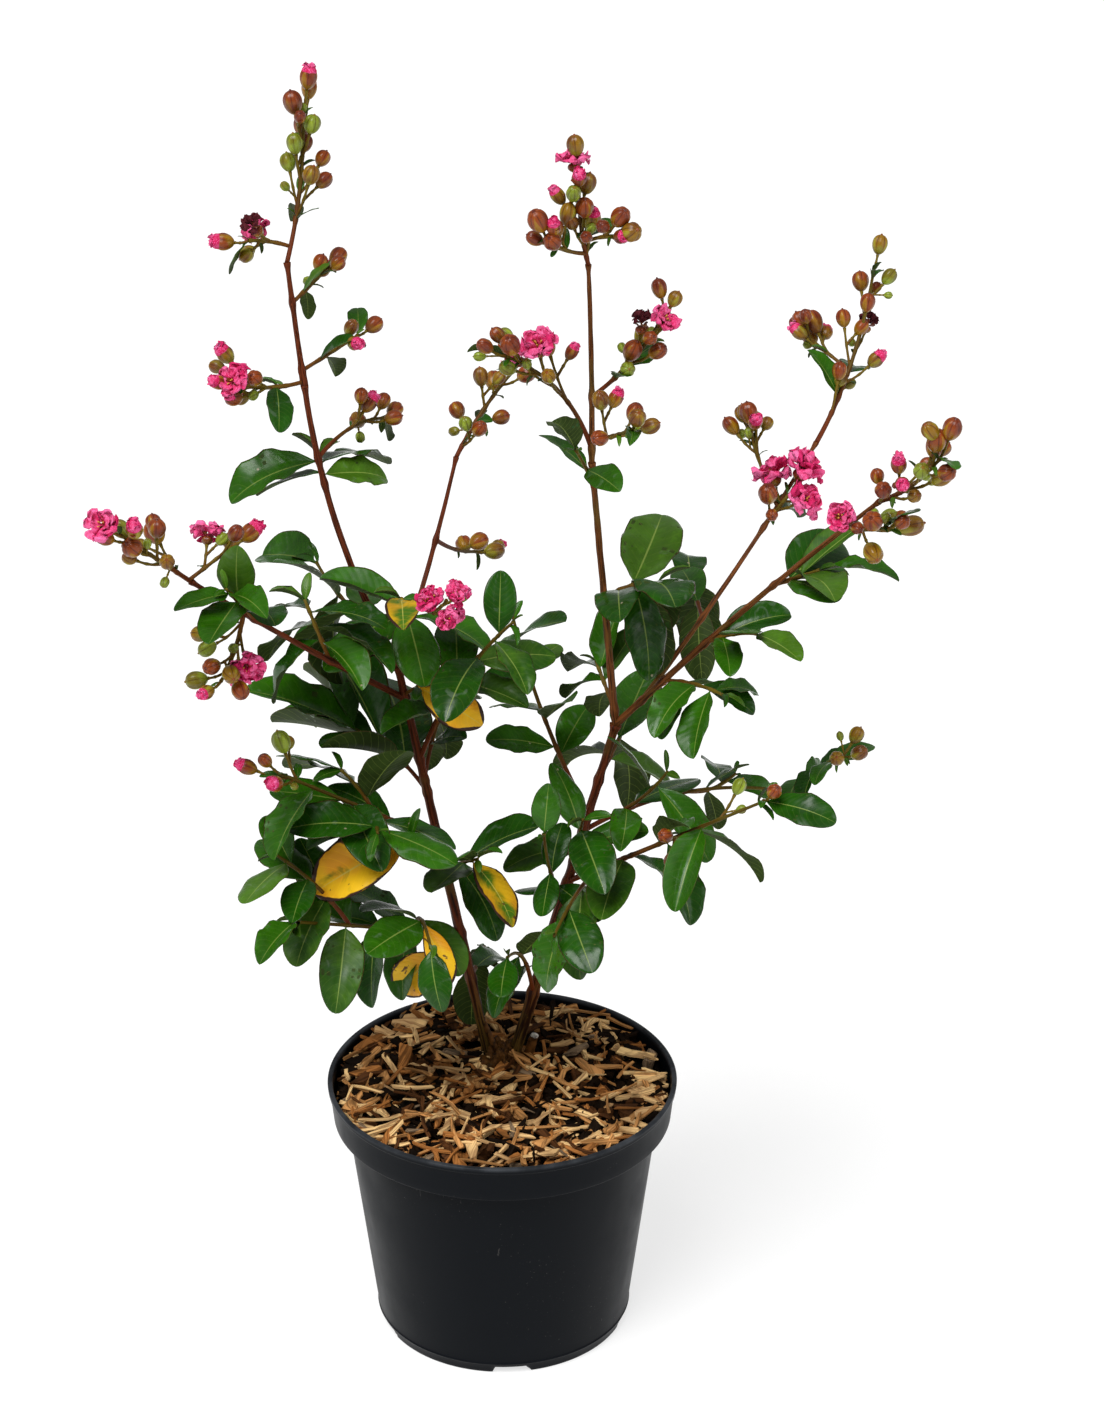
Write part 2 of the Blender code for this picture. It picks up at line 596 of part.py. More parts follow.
def tube(name, points, radii, sides, finish=None):
    """A tapering tube with flat ends, from a curve with a bevel. sides is 4, 6, 8 and so on."""
    curve = bpy.data.curves.new(name, "CURVE")
    curve.dimensions = "3D"
    curve.bevel_depth = 1.0
    curve.bevel_resolution = (sides - 4) // 2
    curve.use_fill_caps = True
    line = curve.splines.new("POLY")
    line.points.add(len(points) - 1)
    for spot, place, radius in zip(line.points, points, radii):
        spot.co = (*place, 1.0)
        spot.radius = radius
    guide = bpy.data.objects.new(name, curve)
    bpy.context.scene.collection.objects.link(guide)
    bpy.context.view_layer.update()
    mesh = bpy.data.meshes.new_from_object(guide.evaluated_get(bpy.context.evaluated_depsgraph_get()))
    bpy.data.objects.remove(guide)
    outward(mesh)
    return new_object(name, mesh, finish)


def evenly(points, count):
    return points[np.linspace(0, len(points) - 1, count).round().astype(int)]


def limb_radii(limb, count):
    """A straight taper in metres. A stem flares over its lowest fifth."""
    t = np.linspace(0.0, 1.0, count)
    radii = (limb.foot + (limb.tip - limb.foot) * t) * MM
    if not limb.on:
        radii *= 1.0 + 0.45 * np.clip(1.0 - t / 0.2, 0.0, 1.0) ** 2
    return radii


def limb_tube(limb, axes, grow_by=0.0, finish=None):
    """A limb's solid, or with grow_by a cutter that stands out from it by that on every side."""
    count = max(4, int(limb.length / 28.0))
    points = evenly(axes[limb.name], count).copy()
    if grow_by:
        points[0] -= grow_by * unit(points[1] - points[0])
        points[-1] += grow_by * unit(points[-1] - points[-2])
    return tube(limb.name if finish else "cutter", points, limb_radii(limb, count) + grow_by, 8, finish)


def boxes_meet(a, b, margin=0.002):
    """True where the bounding boxes of two sets of points come within the margin."""
    return bool((a.min(0) - margin < b.max(0)).all() and (b.min(0) - margin < a.max(0)).all())


def points_of(obj):
    flat = np.empty(len(obj.data.vertices) * 3)
    obj.data.vertices.foreach_get("co", flat)
    return flat.reshape(-1, 3)


def cut_clear(obj, limbs, axes, crown=True):
    """Cuts obj to GAP from the limbs that it meets, and from the crown."""
    reach = points_of(obj)
    cutters = [limb_tube(limb, axes, GAP) for limb in limbs if boxes_meet(axes[limb.name], reach, 0.006)]
    if crown:
        cutters.append(crown_solid("cutter", GAP, None))
    if cutters:
        boolean(obj, cutters, "DIFFERENCE")
    return keep_largest(obj)


def leaf_solid(leaf):
    """A thin leaf: a sphere of three or four sides whose rings take the outline, bend and fold."""
    rings = 4 if leaf.length > 0.060 else 3
    sides = 4 if leaf.length > 0.050 else 3
    bm = bmesh.new()
    bmesh.ops.create_uvsphere(bm, u_segments=sides, v_segments=rings, radius=1.0)
    stations = {4: (-0.016, 0.15, 0.46, 0.80, 1.0), 3: (-0.016, 0.32, 0.74, 1.0)}[rings]
    thickness = 0.5 * max(LEAF_THICKNESS, leaf.length / 60.0)
    for vert in bm.verts:
        ring = round((1.0 - math.acos(max(-1.0, min(1.0, vert.co.z))) / math.pi) * rings)
        angle = math.atan2(vert.co.y, vert.co.x) - (0.5 * math.pi if sides == 3 else 0.0)
        wide = 0.0 if ring in (0, rings) else 1.0
        across = wide * math.cos(angle) / (math.cos(math.pi / 6.0) if sides == 3 else 1.0)
        vert.co = on_leaf(leaf, stations[ring], across, wide * math.sin(angle) * thickness)[0]
    mesh = bpy.data.meshes.new("leaf")
    write_outward(bm, mesh)
    return new_object("leaf", mesh)


def bud_solid(bud):
    """A twig with its bud or flower: a sphere of few sides, drawn along the twig and swollen at its end."""
    widest, end = {"bud": (0.85, 2.0), "faded": (0.9, 1.5), "open": (0.75, 0.95)}[bud.kind]
    profile = ((0.0, 0.8 * MM), (widest * bud.radius, bud.radius), (end * bud.radius, 0.0))
    sides = {"bud": 3, "faded": 4, "open": 6}[bud.kind]
    root = bud.twig[0]
    bm = bmesh.new()
    bmesh.ops.create_uvsphere(bm, u_segments=sides, v_segments=4, radius=1.0)
    side = around(bud.ahead, 0.0)
    over = np.cross(bud.ahead, side)
    foot_side = around(unit(bud.twig[1] - root), 0.0)
    foot_over = np.cross(unit(bud.twig[1] - root), foot_side)
    for vert in bm.verts:
        ring = round((1.0 - math.acos(max(-1.0, min(1.0, vert.co.z))) / math.pi) * 4)
        round_it = Vector((vert.co.x, vert.co.y))
        round_it = round_it.normalized() if 0 < ring < 4 else Vector((0.0, 0.0))
        if ring <= 1:
            place = root + (0.3 * MM if ring else 0.0) * bud.ahead
            vert.co = place + 0.9 * MM * (foot_side * round_it.x + foot_over * round_it.y)
            continue
        along, wide = profile[ring - 2]
        vert.co = bud.twig[-1] + bud.ahead * along + wide * (side * round_it.x + over * round_it.y)
    mesh = bpy.data.meshes.new("bud")
    write_outward(bm, mesh)
    return new_object("bud", mesh)


def shoot_tube(name, shoot, axes, finish=None):
    count = 5 if shoot.length > 150 else 4 if shoot.length > 45 else 3
    radii = np.linspace(1.0 + 0.004 * shoot.length, 0.8, count) * MM
    return tube(name, evenly(axes[shoot.name], count), radii, 4, finish)


def mass_solid(name, axes, grown, finish):
    """One mass: its shoots, leaves and buds joined, and cut clear of the limbs."""
    members = [shoot for shoot in SHOOTS if grown[shoot.name][0] == name]
    base = shoot_tube(name, members[0], axes, finish)
    others = [shoot_tube("shoot", shoot, axes) for shoot in members[1:]]
    for shoot in members:
        others += [leaf_solid(leaf) for leaf in grown[shoot.name][1]]
        others += [bud_solid(bud) for bud in grown[shoot.name][2]]
    boolean(base, others, "UNION")
    base.data.materials.clear()
    base.data.materials.append(finish)
    return cut_clear(base, LIMBS, axes, crown=False)


def wall_inside(z):
    """The pot's inner radius at a height."""
    if z > POT_HEIGHT - BAND_HEIGHT + WALL:
        return RIM_RADIUS - 0.0022 - WALL
    return body_radius(z) - WALL


def body_radius(z):
    """The outer radius of the wall below the band."""
    top = RIM_RADIUS - 0.0037 - BAND_OVERHANG
    return BASE_RADIUS + (top - BASE_RADIUS) * z / (POT_HEIGHT - BAND_HEIGHT)


def pot(finish):
    """The pot: a turned wall with a rolled lip, a plain band, a mould line and notches under its base."""
    band = POT_HEIGHT - BAND_HEIGHT
    profile = [
        (0.0, 0.0),
        (BASE_RADIUS - 0.0045, 0.0),
        (BASE_RADIUS - 0.0012, 0.0012),
        (BASE_RADIUS, 0.0045),
        (body_radius(RING_HEIGHT) + 0.0004, RING_HEIGHT),
        (body_radius(band), band),
        (RIM_RADIUS - 0.0037, band),
        (RIM_RADIUS - 0.0012, POT_HEIGHT - LIP_HEIGHT),
        (RIM_RADIUS, POT_HEIGHT - 0.75 * LIP_HEIGHT),
        (RIM_RADIUS - 0.0006, POT_HEIGHT - 0.2 * LIP_HEIGHT),
        (RIM_RADIUS - 0.0020, POT_HEIGHT),
        (RIM_RADIUS - 0.0036, POT_HEIGHT - 0.2 * LIP_HEIGHT),
        (wall_inside(POT_HEIGHT), POT_HEIGHT - LIP_HEIGHT),
        (wall_inside(POT_HEIGHT), band + WALL),
        (wall_inside(band), band + WALL),
        (wall_inside(0.0045), 0.0045),
        (wall_inside(0.0045) - 0.0025, 0.0025),
        (0.0, 0.0025),
    ]
    obj = turned_shape("pot", profile, POT_SEGMENTS, finish)
    cutters = []
    for i in range(NOTCHES):
        turn = math.radians(NOTCH_TURN + 360.0 / NOTCHES * i)
        bm = bmesh.new()
        bmesh.ops.create_cube(bm, size=1.0)
        mesh = bpy.data.meshes.new("notch")
        bm.to_mesh(mesh)
        bm.free()
        notch = new_object("notch", mesh)
        notch.scale = (0.012, NOTCH_WIDTH, 2.0 * NOTCH_HEIGHT)
        notch.location = (BASE_RADIUS * math.cos(turn), BASE_RADIUS * math.sin(turn), 0.0)
        notch.rotation_euler = (0.0, 0.0, turn)
        cutters.append(notch)
    return boolean(obj, cutters, "DIFFERENCE")


def soil(finish):
    """The root ball's soil, which fills the pot up to the step below the band."""
    top = POT_HEIGHT - BAND_HEIGHT - 0.004
    profile = [
        (0.0, 0.0025 + GAP),
        (wall_inside(0.0045) - 0.0030, 0.0025 + GAP),
        (wall_inside(0.0055) - 1.5 * GAP, 0.0055),
        (wall_inside(top) - GAP, top),
        (0.0, top),
    ]
    return turned_shape("soil", profile, POT_SEGMENTS, finish)


def mulch_height(x, y):
    """The height of the mulch: a low heap with small humps."""
    edge = POT_HEIGHT - MULCH_DROP
    away = math.hypot(x, y - 0.5 * CROWN_PLACE[1]) / RIM_RADIUS
    humps = noise.noise(Vector((46.0 * x, 46.0 * y, 3.0)))
    return edge + MULCH_HEAP * max(0.0, 1.0 - away**2) + 0.0016 * humps


def mulch(axes, finish):
    """The layer of wood chips: a turned disc with a humped top, and chips sunk half way into it."""
    bottom = POT_HEIGHT - BAND_HEIGHT - 0.004 + GAP
    band = POT_HEIGHT - BAND_HEIGHT + WALL
    edge = POT_HEIGHT - MULCH_DROP
    top_radius = wall_inside(POT_HEIGHT) - GAP
    profile = [
        (0.0, bottom),
        (wall_inside(bottom) - GAP, bottom),
        (wall_inside(band - 0.001) - GAP, band + GAP),
        (top_radius, band + GAP),
        (top_radius, edge),
    ]
    profile += [(top_radius * (1.0 - i / 4.0), edge) for i in range(1, 5)]
    obj = turned_shape("mulch", profile, POT_SEGMENTS, finish)
    for vert in obj.data.vertices:
        if vert.co.z > edge - 0.0005 and vert.co.xy.length < top_radius - 0.001:
            vert.co.z = mulch_height(vert.co.x, vert.co.y)
    rng = np.random.default_rng(5)
    chips = []
    for i in range(CHIPS):
        r = (RIM_RADIUS - 0.020) * math.sqrt((i + 0.5) / CHIPS)
        a = math.radians(GOLDEN_TURN * i)
        x, y = r * math.cos(a), r * math.sin(a)
        bm = bmesh.new()
        bmesh.ops.create_cube(bm, size=1.0)
        mesh = bpy.data.meshes.new("chip")
        bm.to_mesh(mesh)
        bm.free()
        chip = new_object("chip", mesh)
        chip.scale = CHIP_SIZE * (0.8 + 0.4 * rng.random(3))
        chip.location = (x, y, mulch_height(x, y) + 0.0004)
        chip.rotation_euler = (*(0.35 * rng.uniform(-1.0, 1.0, 2)), math.tau * rng.random())
        chips.append(chip)
    boolean(obj, chips, "UNION")
    obj.data.materials.clear()
    obj.data.materials.append(finish)
    stems = [limb_tube(limb, axes, GAP) for limb in LIMBS if not limb.on]
    boolean(obj, [crown_solid("cutter", GAP, None), *stems], "DIFFERENCE")
    return keep_largest(obj)


def crown_solid(name, grow_by, finish):
    """The knobby crown that both stems rise from, between the soil and just above the mulch."""
    bottom = POT_HEIGHT - BAND_HEIGHT - 0.004 + GAP
    grow_by *= 1.3  # the lumps narrow it in places
    r = CROWN_RADIUS
    rows = ((0.80, bottom), (1.0, 0.160), (1.06, 0.167), (0.88, GROUND + 0.001), (0.45, GROUND + 0.0045))
    profile = [(0.0, bottom - grow_by)] + [(r * wide + grow_by, z) for wide, z in rows]
    profile[1] = (profile[1][0], bottom - grow_by)
    profile.append((0.0, rows[-1][1] + grow_by))
    obj = turned_shape(name, profile, 12, finish)
    for vert in obj.data.vertices:
        turn = math.atan2(vert.co.y, vert.co.x)
        lump = 1.0 + 0.16 * noise.noise(Vector((2.0 * math.cos(turn), 2.0 * math.sin(turn), 0.0)))
        vert.co.x = vert.co.x * lump + CROWN_PLACE[0]
        vert.co.y = vert.co.y * 0.85 * lump + CROWN_PLACE[1]
    return obj


def clear_scene():
    for obj in list(bpy.data.objects):
        bpy.data.objects.remove(obj)


def main():
    clear_scene()
    plastic = material("pot_plastic", (0.014, 0.015, 0.018), 0.42)
    earth = material("soil", (0.020, 0.013, 0.009), 0.95)
    chips = material("wood_chips", (0.32, 0.18, 0.08), 0.85)
    bark = material("bark", (0.13, 0.045, 0.028), 0.6)
    green = material("leaf", (0.022, 0.085, 0.024), 0.4)
    gold = material("yellow_leaf", (0.75, 0.42, 0.02), 0.5)
    pink = material("blossom", (0.66, 0.09, 0.22), 0.6)
    axes, grown = grow()
    pot(plastic)
    soil(earth)
    mulch(axes, chips)
    crown_solid("crown", 0.0, bark)
    for i, limb in enumerate(LIMBS):
        obj = limb_tube(limb, axes, finish=bark)
        cut_clear(obj, LIMBS[:i], axes, crown=not limb.on)
    for shoot in SHOOTS:
        if grown[shoot.name][0] == shoot.name:
            finish = pink if shoot.name.endswith("truss") else gold if "yellow" in shoot.name else green
            mass_solid(shoot.name, axes, grown, finish)


if __name__ == "__main__":
    main()
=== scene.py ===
"""The looks of a potted crape myrtle in bloom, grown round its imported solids.

Metres, +Z up, the front of the plant towards -Y, and the origin in the middle of the pot's underside.
The plant grows by the rule that its solids grew by: LIMBS and SHOOTS name every stem, bough and shoot,
and seeded functions set leaves and buds along them wherever they clear the rest. Here each leaf, bud,
petal, chip and stretch of bark is then a surface of its own, worked out as arrays.
"""

import json
import math
from functools import cache
from typing import NamedTuple

import bpy
import numpy as np
from bpy.props import FloatProperty, FloatVectorProperty, IntProperty, PointerProperty
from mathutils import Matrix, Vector


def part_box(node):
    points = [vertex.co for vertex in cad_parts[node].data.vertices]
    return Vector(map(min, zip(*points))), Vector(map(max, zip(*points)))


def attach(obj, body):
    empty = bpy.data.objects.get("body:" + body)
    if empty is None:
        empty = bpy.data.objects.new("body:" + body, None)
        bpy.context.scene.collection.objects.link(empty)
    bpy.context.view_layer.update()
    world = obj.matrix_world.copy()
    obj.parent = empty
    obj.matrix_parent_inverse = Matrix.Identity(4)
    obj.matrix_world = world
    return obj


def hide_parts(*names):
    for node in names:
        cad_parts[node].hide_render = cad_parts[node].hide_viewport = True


bl_info = {
    "name": "Potted Crape Myrtle",
    "version": (1, 0, 0),
    "blender": (4, 5, 0),
    "location": "View3D > Sidebar > Plant",
    "description": "Grows a potted crape myrtle in bloom, with its pot, its wood chips and a small studio",
    "category": "Add Mesh",
}

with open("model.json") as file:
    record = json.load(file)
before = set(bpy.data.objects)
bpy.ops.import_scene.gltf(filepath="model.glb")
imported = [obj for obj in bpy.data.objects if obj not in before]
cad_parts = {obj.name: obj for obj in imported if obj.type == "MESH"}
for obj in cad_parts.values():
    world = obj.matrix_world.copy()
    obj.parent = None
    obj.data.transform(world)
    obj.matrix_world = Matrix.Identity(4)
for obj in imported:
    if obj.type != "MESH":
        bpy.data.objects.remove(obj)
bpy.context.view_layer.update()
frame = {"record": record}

MM = 0.001

# The pot and its filling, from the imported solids
POT_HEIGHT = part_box("pot")[1].z
RIM_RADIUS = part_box("pot")[1].x
BASE_RADIUS = 0.0816
WALL = 0.0018
BAND_HEIGHT = 0.026
BAND_OVERHANG = 0.0084
RING_HEIGHT = 0.008
NOTCHES = 5
NOTCH_TURN = -86.0
NOTCH_WIDTH = 0.023
NOTCH_HEIGHT = 0.0052
MULCH_DROP = 0.0105
MULCH_HEAP = 0.0085

# Where the two stems leave the ground
GROUND = 0.172
CROWN_PLACE = (-0.001, 0.028)
CROWN_RADIUS = 0.013
CROWN_SHIFT = 0.004
STEM_FEET = {"left_stem": (-0.009, 0.028), "right_stem": (0.007, 0.027)}

# Leaves and buds, as the solids have them, and the pairs of side veins on a leaf
LEAF_WIDTH = 0.56
VEIN_PAIRS = 11.0
OPEN_RADIUS = 0.0125
FADED_RADIUS = 0.0085
BUD_RADIUS = 0.0060
GOLDEN_TURN = 137.5
SPOTS = 40
LEAF_ROOM = 0.0027
LOWEST_LEAF = 0.181

# The camera that took in the whole plant from a little above
CAMERA_PLACE = (0.032, -2.062, 1.402)
CAMERA_PITCH = 25.19
CAMERA_LENS = 93.7
SENSOR = 36.0

# The studio's lights, which all point at the middle of the plant
SUN_PLACE = (-0.8, -1.3, 3.0)
SUN_WIDTH = 36.0
FLOOR_REACH = 14.0
FLOOR_GLOW = 0.70
FILL_PLACE = (1.9, -0.9, 1.3)
FILL_SIZE = 1.4
AIM_PLACE = (0.0, 0.0, 0.42)


class Limb(NamedTuple):
    """A bare stem or bough. on is the limb that it leaves, at a share of that limb's length."""

    name: str
    on: str
    share: float
    heading: float
    rise: float
    length: float
    arch: float  # how far its middle stands above the straight line, as a share of the length
    foot: float  # radii in mm
    tip: float


class Shoot(NamedTuple):
    """A leafy or flowering shoot. One on a limb begins a mass, and one on a shoot joins that mass."""

    name: str
    on: str
    share: float
    heading: float
    rise: float
    length: float
    arch: float = 0.0
    leaves: int = 0
    size: float = 45.0  # a leaf's length in mm
    first: float = 0.3  # where the leaves begin, as a share of the shoot
    turn: float = 0.0  # the first leaf's turn about the shoot
    step: float = 90.0  # how far each pair of leaves turns on from the last
    spread: float = 55.0  # between a leaf and the shoot
    droop: float = 10.0
    twigs: int = 0  # with a bud on each
    reach: float = 20.0  # a twig's length in mm
    low: float = 0.4  # where the twigs begin, as a share of the shoot
    lean: float = 50.0  # between a twig and the shoot
    blooms: tuple = ()  # which twigs bear an open flower
    faded: tuple = ()  # which bear a faded one
    seed: int = 1


class Leaf(NamedTuple):
    root: np.ndarray
    ahead: np.ndarray
    face: np.ndarray
    length: float
    width: float
    bend: float
    fold: float


class Bud(NamedTuple):
    twig: np.ndarray  # points along its twig
    ahead: np.ndarray
    radius: float
    kind: str


LIMBS = (
    Limb("left_stem", "", 0.0, -148, 78, 301, 0.0, foot=3.6, tip=2.4),
    Limb("right_stem", "", 0.0, -10, 75, 253, 0.0, foot=3.9, tip=2.5),
    Limb("left_leader", "left_stem", 1.0, 147, 69, 180, -0.06, foot=2.2, tip=1.8),
    Limb("left_spire", "left_leader", 1.0, 121, 76, 74, -0.01, foot=1.7, tip=1.4),
    Limb("left_bough", "left_stem", 0.92, -140, 38, 195, -0.01, foot=2.0, tip=1.3),
    Limb("inner_leader", "left_stem", 1.0, 65, 52, 135, -0.03, foot=1.8, tip=1.2),
    Limb("centre_leader", "right_stem", 1.0, -123, 81, 186, 0.0, foot=2.3, tip=1.8),
    Limb("centre_spire", "centre_leader", 1.0, -98, 81, 131, 0.04, foot=1.7, tip=1.2),
    Limb("right_bough", "right_stem", 1.0, -41, 46, 278, 0.01, foot=2.2, tip=1.3),
    Limb("back_bough", "right_bough", 0.11, 39, 44, 195, -0.02, foot=1.8, tip=1.2),
)

